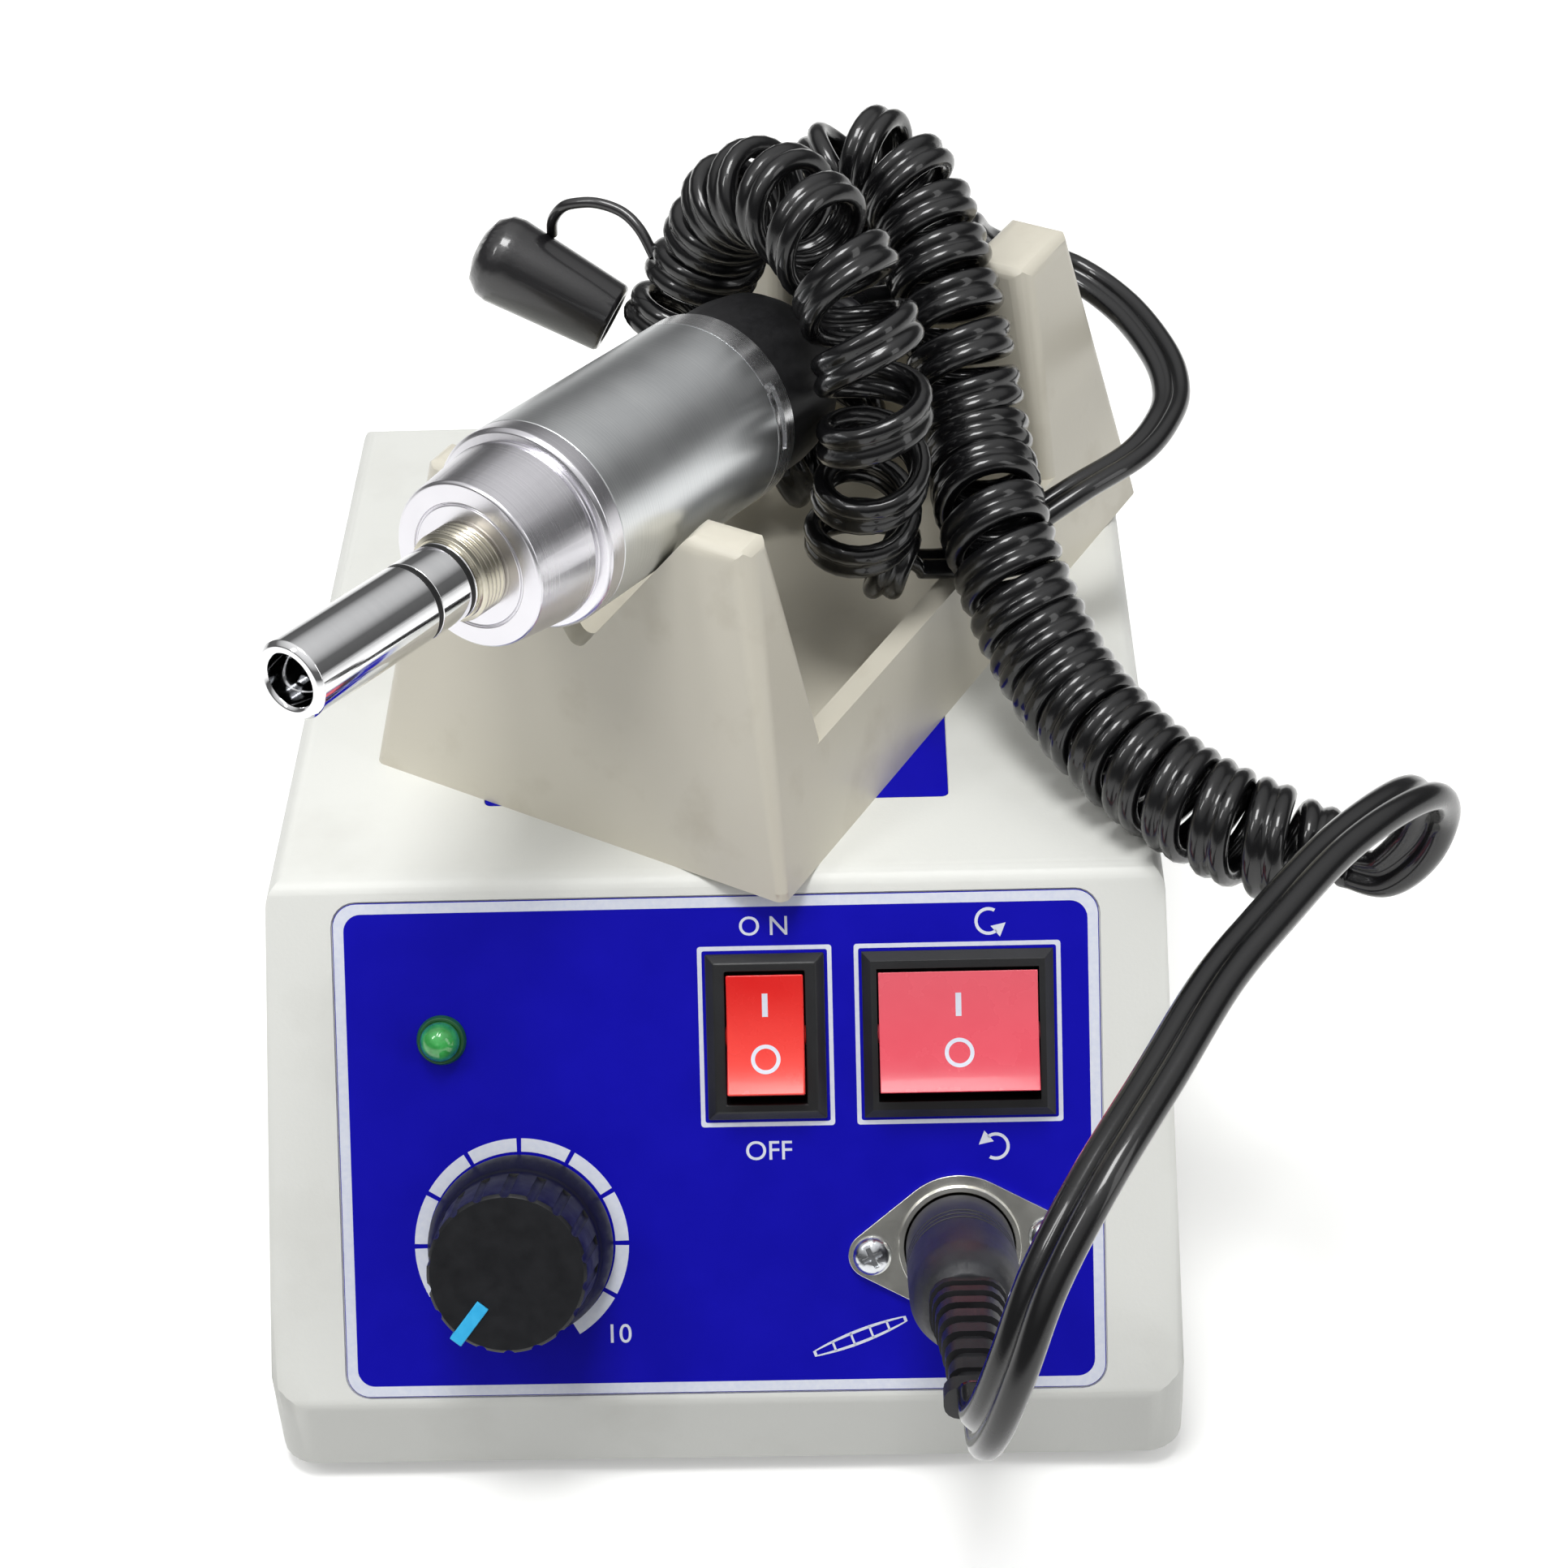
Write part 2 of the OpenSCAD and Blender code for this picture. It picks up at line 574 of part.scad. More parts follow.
module motor_nose() {
    color([0.82, 0.83, 0.85]) on_motor() rotate_extrude() polygon([[nose_bore / 2, 0.4],
        [nose_bore / 2 + 0.4, 0], [nose_r - 0.5, 0], [nose_r, 0.6],
        each [for (g = groove_w) each [[nose_r, g], [nose_r - 0.5, g], [nose_r - 0.5, g + groove_l],
            [nose_r, g + groove_l]]],
        [nose_r, nose_l], [neck_r, nose_l], [neck_r, face_w + 4.3], [2, face_w + 4.3], [2, nose_l + 2],
        [nose_bore / 2 - 0.25, nose_l - 1], [nose_bore / 2 - 0.25, socket_l], [nose_bore / 2, socket_l]]);
}
module nose_rings() {
    color([0.06, 0.06, 0.06]) on_motor() for (g = groove_w) translate([0, 0, g]) difference() {
        cylinder(h = groove_l, r = nose_r - 0.05);
        translate([0, 0, -1]) cylinder(h = groove_l + 2, r = nose_r - 0.5);
    }
}
module threaded_sleeve() {
    color([0.75, 0.66, 0.42]) on_motor() rotate_extrude() polygon([
        [neck_r, nose_l], [sleeve_r - 0.5, nose_l],
        [sleeve_r - 0.5, nose_l + 0.6], each [for (i = [0:4]) let (w = nose_l + 0.8 + 0.72 * i)
            each [[sleeve_r, w], [sleeve_r, w + 0.3], [sleeve_r - 0.35, w + 0.5]]],
        [sleeve_r - 0.35, face_w + 1.3], [neck_r, face_w + 1.3]]);
}
module motor_collar() {
    color([0.74, 0.75, 0.77]) on_motor() rotate_extrude() polygon([[sleeve_r - 0.35, face_w], [7.5, face_w],
        [7.5, face_w + 0.3], [7.8, face_w + 0.3], [7.8, face_w], [10.1, face_w], [10.4, face_w + 0.3],
        [11.5, 41], [11.2, 41.3], [11.2, 41.9], [motor_r - 0.4, 42.1], [motor_r, 42.6], [motor_r, body_w],
        [tube_r - 2, body_w], [tube_r - 2, 42], [bearing_r, 42], [bearing_r, 38], [2, 38], [2, face_w + 4.3],
        [neck_r, face_w + 4.3], [neck_r, face_w + 1.3], [sleeve_r - 0.35, face_w + 1.3]]);
}
module motor_body() {
    color([0.62, 0.64, 0.67]) on_motor() translate([0, 0, body_w]) difference() {
        cylinder(h = body_l, r = motor_r);
        translate([0, 0, -1]) cylinder(h = body_l + 2, r = tube_r);
    }
}
module stator_magnets() {
    color([0.25, 0.25, 0.27]) on_motor() translate([0, 0, body_w + 3]) difference() {
        cylinder(h = 24, r = tube_r);
        translate([0, 0, -1]) cylinder(h = 26, r = 8.3);
        translate([-5, -20, -1]) cube([10, 40, 26]);
    }
}
module bearing(w0, w1, r) {
    color([0.7, 0.71, 0.73]) on_motor() translate([0, 0, w0]) difference() {
        cylinder(h = w1 - w0, r = r);
        translate([0, 0, -1]) cylinder(h = w1 - w0 + 2, r = rotor_r + running);
    }
}
module front_bearing() bearing(38, 42, bearing_r);
module rear_bearing() bearing(cap_w - 2.5, cap_w, 3.5);

// Rear ring with its bayonet slot, closing the motor tube
slot_turn = 236;
slot_sweep = 38;
module rear_ring() {
    color([0.8, 0.81, 0.83]) on_motor() difference() {
        rotate_extrude() polygon([[tube_r - 1.5, ring_w], [motor_r, ring_w], [motor_r, cap_w - 0.4],
            [motor_r - 0.4, cap_w], [3.5, cap_w], [3.5, cap_w - 2.5], [tube_r - 1.5, cap_w - 2.5]]);
        rotate([0, 0, slot_turn]) translate([tube_r + 0.3, -0.6, ring_w - 1]) cube([3, 1.2, 2.6]);
        rotate([0, 0, slot_turn]) rotate_extrude(angle = slot_sweep)
            translate([tube_r + 0.3, ring_w + 0.9]) square([3, 0.9]);
    }
}
commutator_r = 4.2;
module brush_holders() {
    color([0.55, 0.42, 0.25]) on_motor() for (turn = [0, 180]) rotate([0, 0, turn])
        translate([commutator_r + running, -2, ring_w - 5]) cube([tube_r - commutator_r - 0.15, 4, 4]);
}
module rear_cap() {
    color([0.09, 0.09, 0.1]) on_motor() translate([0, 0, cap_w]) rotate_extrude()
        polygon([[10.2, 0], [11.9, 0], [11.8, 8], [11.2, 12], [9.8, 14.6], [8, cap_l - 0.4], [6.5, cap_l],
            [neck_r, cap_l], [neck_r, cap_l - 3], [8.2, cap_l - 3], [10.2, 10]]);
}
relief_ribs = 6;
module lead_relief() {
    color([0.08, 0.08, 0.09]) on_motor() translate([0, 0, cap_w + cap_l]) rotate_extrude()
        polygon([[0, -4.5], [5.4, -4.5], [5.4, -3], [neck_r, -3], [neck_r, 1],
            each [for (i = [0:relief_ribs - 1]) let (w = 1 + 2.4 * i, r = neck_r - 0.1 * i)
                each [[r, w], [r, w + 1.3], [r - 0.7, w + 1.5], [r - 0.7, w + 2.3]]],
            [3.4, relief_l - 1], [3.4, relief_l], [0, relief_l]]);
}

// Rotor: shaft, driving dog in the nose, slotted core and commutator
module rotor_shaft() {
    color([0.75, 0.76, 0.78]) on_motor() translate([0, 0, dog_w + 7])
        cylinder(h = cap_w - dog_w - 7, r = rotor_r);
}
module drive_dog() {
    color([0.85, 0.85, 0.86]) on_motor() {
        difference() {
            translate([0, 0, dog_w + 6]) cylinder(h = 6, r = 2.5);
            translate([0, 0, dog_w + 7]) cylinder(h = 6, r = rotor_r);
        }
        for (turn = [0, 180]) rotate([0, 0, turn]) translate([1.1, -0.9, dog_w]) cube([1.4, 1.8, 6.5]);
    }
}
module rotor_core() {
    color([0.55, 0.35, 0.2]) on_motor() translate([0, 0, body_w + 5]) difference() {
        cylinder(h = 20, r = 7.8);
        translate([0, 0, -1]) cylinder(h = 22, r = rotor_r);
        for (i = [0:6]) rotate([0, 0, i * 360 / 7]) translate([4, -0.8, -1]) cube([6, 1.6, 22]);
    }
}
module commutator() {
    color([0.8, 0.55, 0.3]) on_motor() translate([0, 0, ring_w - 6]) difference() {
        cylinder(h = 6, r = commutator_r);
        translate([0, 0, -1]) cylinder(h = 8, r = rotor_r);
    }
}

// Rear wall: mains inlet with two pins, fuse holder and foot control jack
inlet_depth = 13;
inlet_rim = 1.6;
inlet_pin_x = 4.3;
module mains_inlet() {
    color([0.1, 0.1, 0.1]) on_rear(inlet_at) difference() {
        union() {
            linear_extrude(inlet_rim) polygon(box_outline(inlet_w + 5, inlet_h + 4, 2));
            translate([-inlet_w / 2, -inlet_h / 2, -inlet_depth - 2])
                cube([inlet_w, inlet_h, inlet_depth + 3]);
        }
        translate([0, 0, inlet_rim - inlet_depth]) {
            for (side = [-1, 1]) translate([side * inlet_pin_x, 0, 0]) cylinder(h = far, r = 4);
            translate([-inlet_pin_x, -3.4, 0]) cube([2 * inlet_pin_x, 6.8, far]);
        }
    }
}
module inlet_pins() {
    color([0.8, 0.8, 0.8]) on_rear(inlet_at) for (side = [-1, 1])
        translate([side * inlet_pin_x, 0, inlet_rim - inlet_depth]) {
            cylinder(h = 9.4, r = 1.15);
            translate([0, 0, 9.4]) sphere(r = 1.15);
        }
}
fuse_cap_r = 5;
module fuse_holder() {
    color([0.11, 0.11, 0.11]) on_rear(fuse_at) difference() {
        union() {
            cylinder(h = 1.6, r = 7.6);
            translate([0, 0, -24]) cylinder(h = 25, r = fuse_r);
        }
        translate([0, 0, -20]) cylinder(h = far, r = fuse_cap_r + running);
    }
}
fuse_cap_out = 7.14;
module fuse_cap() {
    color([0.15, 0.15, 0.15]) on_rear(fuse_at) difference() {
        union() {
            translate([0, 0, -3]) cylinder(h = 3 + fuse_cap_out, r = fuse_cap_r);
            translate([0, 0, -18]) cylinder(h = 16, r = 2.6);
        }
        translate([-far / 2, -0.6, fuse_cap_out - 1.2]) cube([far, 1.2, 3]);
    }
}
jack_bore = 3.2;
module foot_jack() {
    color([0.14, 0.14, 0.14]) on_rear(jack_at) difference() {
        union() {
            translate([0, 0, -case_wall]) cylinder(h = case_wall + 3, r = jack_r);
            translate([-7, -7, -case_wall - 24]) cube([14, 14, 24]);
        }
        translate([0, 0, -24]) cylinder(h = far, r = jack_bore);
    }
}
module jack_nut() {
    color([0.75, 0.76, 0.78]) on_rear(jack_at) difference() {
        cylinder(h = 2, r = 7, $fn = 6);
        translate([0, 0, -1]) cylinder(h = 4, r = jack_r);
    }
}

// Inside the case, on the base plate
inside_z = foot_h + plate_t;
core_at = [-14, 27.2];
core_size = [46, 22, 38];
module at_core() translate([core_at.x, core_at.y, inside_z]) children();
module transformer_core() {
    color([0.35, 0.36, 0.38]) at_core() along_y(core_size.y) difference() {
        translate([-core_size.x / 2, 0]) square([core_size.x, core_size.z]);
        for (side = [-1, 1]) translate([side * 11.5 - 4, 7]) square([8, core_size.z - 14]);
    }
}
module transformer_coils() {
    color([0.75, 0.6, 0.2]) at_core() translate([0, 0, 7]) difference() {
        linear_extrude(core_size.z - 14) polygon(box_outline(30, core_size.y + 14, 4));
        translate([-7.5, -core_size.y / 2, -1]) cube([15, core_size.y, core_size.z]);
    }
}
board_z = inside_z + 5;
module control_board() {
    color([0.1, 0.4, 0.2]) {
        translate([-40, -46, board_z]) cube([80, 46, 1.6]);
        for (x = [-34, 34], y = [-40, -6]) translate([x, y, inside_z]) cylinder(h = 5, r = 2.5);
    }
}
module board_capacitor() {
    color([0.1, 0.12, 0.35]) translate([28, -14, board_z + 1.6]) cylinder(h = 25, r = 8);
}
module heat_sink() {
    color([0.6, 0.61, 0.63]) translate([-20, -10, board_z + 1.6]) {
        translate([-15, 0, 0]) cube([30, 3, 22]);
        for (i = [0:5]) translate([-15 + 5.6 * i, -9, 0]) cube([2, 9, 22]);
    }
}

// Cord. Route points are places on its centre line, in millimetres, chosen by hand.
// Each point of the curly part also carries the pitch of the curls there.
coil_route = [[26.5, 7, 86.8, 8], [22, 4.6, 88.4, 8], [19.4, 4.4, 93, 8], [20.8, 1.2, 103, 9],
    [21.5, 0, 112, 9.4], [20.8, 3.4, 122, 9], [17.2, 11, 129.8, 8.5], [13.2, 18.6, 132, 8],
    [8.4, 27, 131, 7.5], [4, 33, 126.2, 7], [0.8, 35.8, 118.8, 7], [-2.8, 36.2, 111.2, 7.5],
    [-6.4, 36.8, 102.4, 8.5], [-5.5, 37.4, 92.4, 9.5], [1, 38, 83.8, 9.5], [9, 40.4, 82.4, 9.5],
    [15.4, 43.6, 87.2, 9], [17.6, 46, 95, 9], [17, 48.4, 103.6, 9], [16.6, 50.4, 111.4, 9.5],
    [17, 51.6, 117.4, 10.5], [19.6, 51.4, 122, 11], [23.2, 49, 123.6, 10.5], [26.4, 44.8, 122.2, 9.8],
    [28.5, 39.4, 119.2, 8.6], [30.6, 33.5, 114.6, 7.7], [32.6, 27.6, 109.4, 7.2], [35, 17.6, 98.6, 6.6],
    [36.6, 6.4, 94.4, 6],
    [38.8, -0.2, 89.6, 5.8], [41.6, -6, 84.8, 5.7], [45.4, -12.6, 80.6, 5.7], [50.2, -20, 78.2, 5.7],
    [55.8, -26.6, 76.4, 5.8], [62.2, -32.2, 75.1, 6], [68.6, -36, 74.2, 6.4], [74, -38.2, 73.6, 6.6],
    [78.4, -40.6, 73.2, 6.6]];
front_tail_route = [[78.4, -40.6, 73.2], [82, -43.4, 74.8], [85.4, -45, 80.6], [86.2, -46.6, 87.6],
    [83.6, -51, 93.4], [78, -57, 95.6], [71.4, -63.8, 95.6], [64.2, -72.7, 94.6], [57.1, -81.9, 93],
    [49.8, -94, 90.4], [42.6, -105, 86.8], [37, -112.6, 80.4], [33.6, -117.4, 72.6], [31.4, -118, 65.2],
    [30.2, -115.2, 59.6], [30, -110.9, 58.7]];
rear_tail_route = [[18.3, 33.3, 108.5], [20.9, 37.5, 107.9], [25.7, 39.8, 107.5], [31.4, 43.4, 107.4],
    [34.6, 48.4, 108.4], [36, 54.4, 109.8], [38, 60, 104.8], [43, 63, 100.6], [50.4, 64.4, 97.4],
    [57.4, 57.6, 95.2], [61.8, 46.4, 94], [62.6, 37.4, 93.4], [60.6, 29.7, 93.4], [56.4, 22.6, 93],
    [48.8, 17, 91.6], [42, 13.6, 88.8], [37, 11.2, 86.4], [31.6, 9, 85.6], [26.5, 7, 86.8]];
curl_r = 6.1;
curl_rings = 8;
strand_r = 1.3;
curl_half_w = 1.7;
tail_strand_r = 1.7;
rear_strand_r = 1.35;

// Smooth line through route points, n steps between two points; extra columns are carried along
function spline_at(p, i, t) =
    let (a = p[max(i - 1, 0)], b = p[i], c = p[i + 1], d = p[min(i + 2, len(p) - 1)])
    (2 * b + (c - a) * t + (2 * a - 5 * b + 4 * c - d) * t * t + (3 * b - a - 3 * c + d) * t * t * t) / 2;
function smooth(p, n) = [for (i = [0:len(p) - 2], k = [0:n - 1]) spline_at(p, i, k / n), p[len(p) - 1]];
function place(v) = [v[0], v[1], v[2]];
function tangents(c) = [for (i = [0:len(c) - 1]) unit(c[min(i + 1, len(c) - 1)] - c[max(i - 1, 0)])];
function square_to(v, t) = unit(v - (v * t) * t);
// One direction carried along the line without twisting about it
function carried(t, first) = [for (i = 0, n = square_to(first, t[0]); i < len(t);
    i = i + 1, n = i < len(t) ? square_to(n, t[i]) : n) n];

// Skin over rings of points, with flat ends
module skin_over(rings) {
    m = len(rings[0]);
    last = len(rings) - 1;
    polyhedron([each each rings], [each [for (i = [0:last - 1], k = [0:m - 1])
            let (a = i * m + k, b = i * m + (k + 1) % m) each [[a, a + m, b], [b, a + m, b + m]]],
        [for (k = [0:m - 1]) k], [for (k = [m - 1:-1:0]) last * m + k]]);
}

// Two strands side by side, as one outline of 12 points
function twin_section(r) = let (w = [for (t = [-90, -36, 0, 36, 90]) r * [1 + cos(t), sin(t)]])
    [each w, [0, 0.45 * r], each [for (p = w) -p], [0, -0.45 * r]];
module twin_lead(route, r, first, n) {
    line = smooth(route, n);
    t = tangents(line);
    u = carried(t, first);
    skin_over([for (i = [0:len(line) - 1]) let (v = cross(t[i], u[i]))
        [for (q = twin_section(r)) line[i] + q.x * u[i] + q.y * v]]);
}

// Curly part: turns counted along the line from the local pitch, then rings at even turns
coil_line = smooth(coil_route, 8);
coil_places = [for (v = coil_line) place(v)];
coil_t = tangents(coil_places);
coil_n = carried(coil_t, [0, 0, 1]);
coil_turns = [for (i = 0, s = 0; i < len(coil_line); i = i + 1,
    s = i < len(coil_line) ? s + norm(coil_places[i] - coil_places[i - 1]) / coil_line[i][3] : s) s];
turns_total = coil_turns[len(coil_turns) - 1];
coil_table = [for (k = [0:2]) [for (i = [0:len(coil_line) - 1]) [coil_turns[i], coil_places[i][k]]]];
normal_table = [for (k = [0:2]) [for (i = [0:len(coil_line) - 1]) [coil_turns[i], coil_n[i][k]]]];
tangent_table = [for (k = [0:2]) [for (i = [0:len(coil_line) - 1]) [coil_turns[i], coil_t[i][k]]]];
function at_turn(table, s) = [for (k = [0:2]) lookup(s, table[k])];
function ease(x) = let (t = max(0, min(1, x))) t * t * (3 - 2 * t);
function curl_out(s) = let (t = unit(at_turn(tangent_table, s)), n = square_to(at_turn(normal_table, s), t))
    n * cos(360 * s) + cross(t, n) * sin(360 * s);
function curl_reach(s) = curl_r * ease((s - 0.15) / 0.9) * ease((turns_total - 0.15 - s) / 0.9);
curl_steps = round(turns_total * curl_rings);
curl_s = [for (i = [0:curl_steps]) turns_total * i / curl_steps];
curl_centres = [for (s = curl_s) at_turn(coil_table, s) + curl_reach(s) * curl_out(s)];
curl_t = tangents(curl_centres);
curl_outline = [for (q = [[1, 0], [0.5, 0.95], [-0.5, 0.95], [-1, 0], [-0.5, -0.95], [0.5, -0.95]])
    [q.x * curl_half_w, q.y * strand_r]];
curl_skin = [for (i = [0:curl_steps])
    let (t = i == 0 ? coil_t[0] : i == curl_steps ? coil_t[len(coil_t) - 1] : curl_t[i])
    let (v = square_to(curl_out(curl_s[i]), t), u = cross(v, t))
    [for (q = curl_outline) curl_centres[i] + q.x * u + q.y * v]];
near = 7;
curl_gap = min([for (i = [0:curl_steps], j = [i + curl_rings - 3:curl_steps])
    if (j <= curl_steps && norm(curl_centres[i] - curl_centres[j]) < near)
        min([for (a = curl_skin[i], b = curl_skin[j]) norm(a - b)])]);
echo(curls = turns_total, least_gap = curl_gap);

module lead_front_tail() {
    color([0.07, 0.07, 0.08]) twin_lead(front_tail_route, tail_strand_r, [0, -0.5, 0.8], 2);
}
module curly_lead() {
    color([0.07, 0.07, 0.08]) skin_over(curl_skin);
}
module lead_rear_tail() {
    color([0.07, 0.07, 0.08]) twin_lead(rear_tail_route, rear_strand_r, [0, 0, 1], 2);
}

// Dust cap for the nose, hung from the cord by its strap
cap_end = [-13.9, 40, 105.7];
cap_dome = [-30.5, 44.6, 114.1];
cap_length = norm(cap_dome - cap_end);
cap_axis = (cap_dome - cap_end) / cap_length;
strap_r = 0.75;
strap_route = [[-21.8, 46, 115.8], [-21.4, 44.6, 118.6], [-20, 43.4, 121], [-18.2, 42.8, 122],
    [-15, 42, 122.4], [-11.6, 40.8, 121.6], [-9.2, 38.9, 119.9], [-7.4, 36.8, 117]];
module at_cap() translate(cap_end) rotate([0, acos(cap_axis.z), atan2(cap_axis.y, cap_axis.x)]) children();
module dust_cap() {
    color([0.07, 0.07, 0.08]) at_cap() rotate_extrude() polygon([[3.6, 0], [4.6, 0], [4.95, 0.4],
        [6, cap_length - 5], [6.2, cap_length - 2.6], [5.9, cap_length - 1], [4.6, cap_length + 0.6],
        [2.4, cap_length + 1.4], [0, cap_length + 1.6], [0, cap_length - 1.6], [3.6, cap_length - 3]]);
}
module cap_strap() {
    line = smooth(strap_route, 2);
    t = tangents(line);
    u = carried(t, [0, 1, 0]);
    color([0.07, 0.07, 0.08]) skin_over([for (i = [0:len(line) - 1]) let (v = cross(t[i], u[i]))
        [for (a = [0:45:315]) line[i] + strap_r * (cos(a) * u[i] + sin(a) * v)]]);
}

upper_housing();
base_plate();
rubber_feet();
case_screws();
panel_label();
top_label();
cradle();
cradle_pads();
power_switch_frame();
power_rocker();
direction_switch_frame();
direction_rocker();
lamp_bezel();
lamp_lens();
speed_pot();
pot_nut();
pot_shaft();
speed_knob();
knob_pointer();
socket_flange();
socket_insert();
socket_screws();
plug_contacts();
plug_body();
plug_boot();
motor_nose();
nose_rings();
threaded_sleeve();
motor_collar();
motor_body();
stator_magnets();
front_bearing();
rear_bearing();
rear_ring();
brush_holders();
rear_cap();
lead_relief();
rotor_shaft();
drive_dog();
rotor_core();
commutator();
mains_inlet();
inlet_pins();
fuse_holder();
fuse_cap();
foot_jack();
jack_nut();
transformer_core();
transformer_coils();
control_board();
board_capacitor();
heat_sink();
lead_front_tail();
curly_lead();
lead_rear_tail();
dust_cap();
cap_strap();
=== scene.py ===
import math
import bmesh
import bpy
from mathutils import Matrix, Vector


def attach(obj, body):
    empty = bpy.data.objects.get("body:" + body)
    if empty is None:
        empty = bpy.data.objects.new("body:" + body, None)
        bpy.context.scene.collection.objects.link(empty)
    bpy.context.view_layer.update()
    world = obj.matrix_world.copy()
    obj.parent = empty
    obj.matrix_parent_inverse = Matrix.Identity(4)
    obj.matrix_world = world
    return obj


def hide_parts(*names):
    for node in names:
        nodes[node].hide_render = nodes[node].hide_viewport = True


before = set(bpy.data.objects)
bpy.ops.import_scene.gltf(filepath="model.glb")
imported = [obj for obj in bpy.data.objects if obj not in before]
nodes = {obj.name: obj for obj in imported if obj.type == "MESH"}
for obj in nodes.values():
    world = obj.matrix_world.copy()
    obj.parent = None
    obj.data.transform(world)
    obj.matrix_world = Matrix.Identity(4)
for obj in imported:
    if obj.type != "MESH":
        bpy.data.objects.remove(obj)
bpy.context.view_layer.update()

# Camera, floor and lamps. The camera stands above and in front of the unit, as the
# photograph was taken; the floor is a white studio sheet that keeps the shadow.
MM = 0.001
CAMERA_AT = Vector((20.7, -327.1, 319.7)) * MM
PITCH, ROLL, YAW = math.radians(38.9), math.radians(2.63), math.radians(-2.2)
FOCAL_PX, FRAME_PX = 3788.0, 1932.0
SENSOR_MM = 36.0


def tone(red, green, blue):
    """A screen colour, 0 to 255 each, as the linear colour that a shader takes."""
    return tuple(c / 12.92 if c <= 0.04045 else ((c + 0.055) / 1.055) ** 2.4
                 for c in (red / 255, green / 255, blue / 255)) + (1.0,)


class Wire:
    """A value that runs through a material; sums on it add the Math nodes that work them out."""

    def __init__(self, finish, socket):
        self.finish, self.socket = finish, socket

    def sum(self, operation, *terms):
        return self.finish.node("ShaderNodeMath", {"operation": operation}, dict(enumerate(terms)))

    def __add__(self, other):
        return self.sum("ADD", self, other)

    def __radd__(self, other):
        return self.sum("ADD", other, self)

    def __mul__(self, other):
        return self.sum("MULTIPLY", self, other)

    def __rmul__(self, other):
        return self.sum("MULTIPLY", other, self)


class Finish:
    """A material while it is being mixed: its nodes and its Principled shader."""

    def __init__(self, name, **surface):
        self.material = bpy.data.materials.new(name)
        self.material.use_nodes = True
        self.tree = self.material.node_tree
        self.shader = self.tree.nodes["Principled BSDF"]
        self.place = self.node("ShaderNodeTexCoord", out="Object")
        self.wear(**surface)

    def node(self, kind, settings=None, sockets=None, out=0):
        """Adds any node: its settings first, then the values or links of its sockets."""
        made = self.tree.nodes.new(kind)
        for name, value in (settings or {}).items():
            setattr(made, name, value)
        for key, value in (sockets or {}).items():
            self.feed(made.inputs[key], value)
        return Wire(self, made.outputs[out])

    def feed(self, socket, value):
        if isinstance(value, Wire):
            self.tree.links.new(value.socket, socket)
        else:
            socket.default_value = value

    def wear(self, **surface):
        """Sets sockets of the shader by name: base_color, roughness, coat_weight and so on."""
        for name, value in surface.items():
            title = name.replace("_", " ").title().replace("Ior", "IOR")
            self.feed(self.shader.inputs[title], value)

    def noise(self, size, detail=2.0, vector=None):
        """Soft cloudy pattern, 0 to 1, whose clouds are about size millimetres across."""
        return self.node("ShaderNodeTexNoise", None, {
            "Vector": vector or self.place, "Scale": 1000.0 / size, "Detail": detail})

    def mixed(self, factor, first, second):
        """A colour between two colours."""
        return self.node("ShaderNodeMix", {"data_type": "RGBA"}, {0: factor, 6: first, 7: second}, 2)

    def along(self, axis, origin):
        """Distance along a direction from an origin, both in the object's own space."""
        moved = self.node("ShaderNodeVectorMath", {"operation": "SUBTRACT"}, {0: self.place, 1: origin})
        return self.node("ShaderNodeVectorMath", {"operation": "DOT_PRODUCT"}, {0: moved, 1: axis}, "Value")

    def limited(self, value, low, high):
        """Stretches low..high of a value to 0..1, and holds it there outside."""
        return self.node("ShaderNodeMapRange", None, {"Value": value, "From Min": low, "From Max": high})

    def relief(self, height, strength, depth):
        """Bumps the surface by a height pattern; depth is in millimetres."""
        bump = self.node("ShaderNodeBump", None, {
            "Strength": strength, "Distance": depth * MM, "Height": height}, "Normal")
        self.wear(normal=bump)


def show(name, mesh, finish):
    """Puts a finished mesh in the scene as an object at the origin."""
    made = bpy.data.objects.new(name, mesh)
    bpy.context.scene.collection.objects.link(made)
    mesh.materials.clear()
    mesh.materials.append(finish.material)
    return made


def mesh_of(name, points, faces):
    """A mesh from its points, in metres, and its faces."""
    made = bpy.data.meshes.new(name)
    made.from_pydata([tuple(p) for p in points], [], faces)
    made.validate()
    return made


forward = Vector((math.sin(YAW) * math.cos(PITCH), math.cos(YAW) * math.cos(PITCH), -math.sin(PITCH)))
level = Vector((math.cos(YAW), -math.sin(YAW), 0))
downward = forward.cross(level)
right = level * math.cos(ROLL) + downward * math.sin(ROLL)
down = downward * math.cos(ROLL) - level * math.sin(ROLL)
camera_data = bpy.data.cameras.new("camera")
camera_data.sensor_width = SENSOR_MM
camera_data.lens = SENSOR_MM * FOCAL_PX / FRAME_PX
camera_data.clip_start, camera_data.clip_end = 0.01, 20.0
camera = bpy.data.objects.new("camera", camera_data)
camera.matrix_world = Matrix((
    (right.x, -down.x, -forward.x, CAMERA_AT.x), (right.y, -down.y, -forward.y, CAMERA_AT.y),
    (right.z, -down.z, -forward.z, CAMERA_AT.z), (0, 0, 0, 1)))
bpy.context.scene.collection.objects.link(camera)
bpy.context.scene.camera = camera
bpy.context.scene.view_settings.view_transform = "Standard"


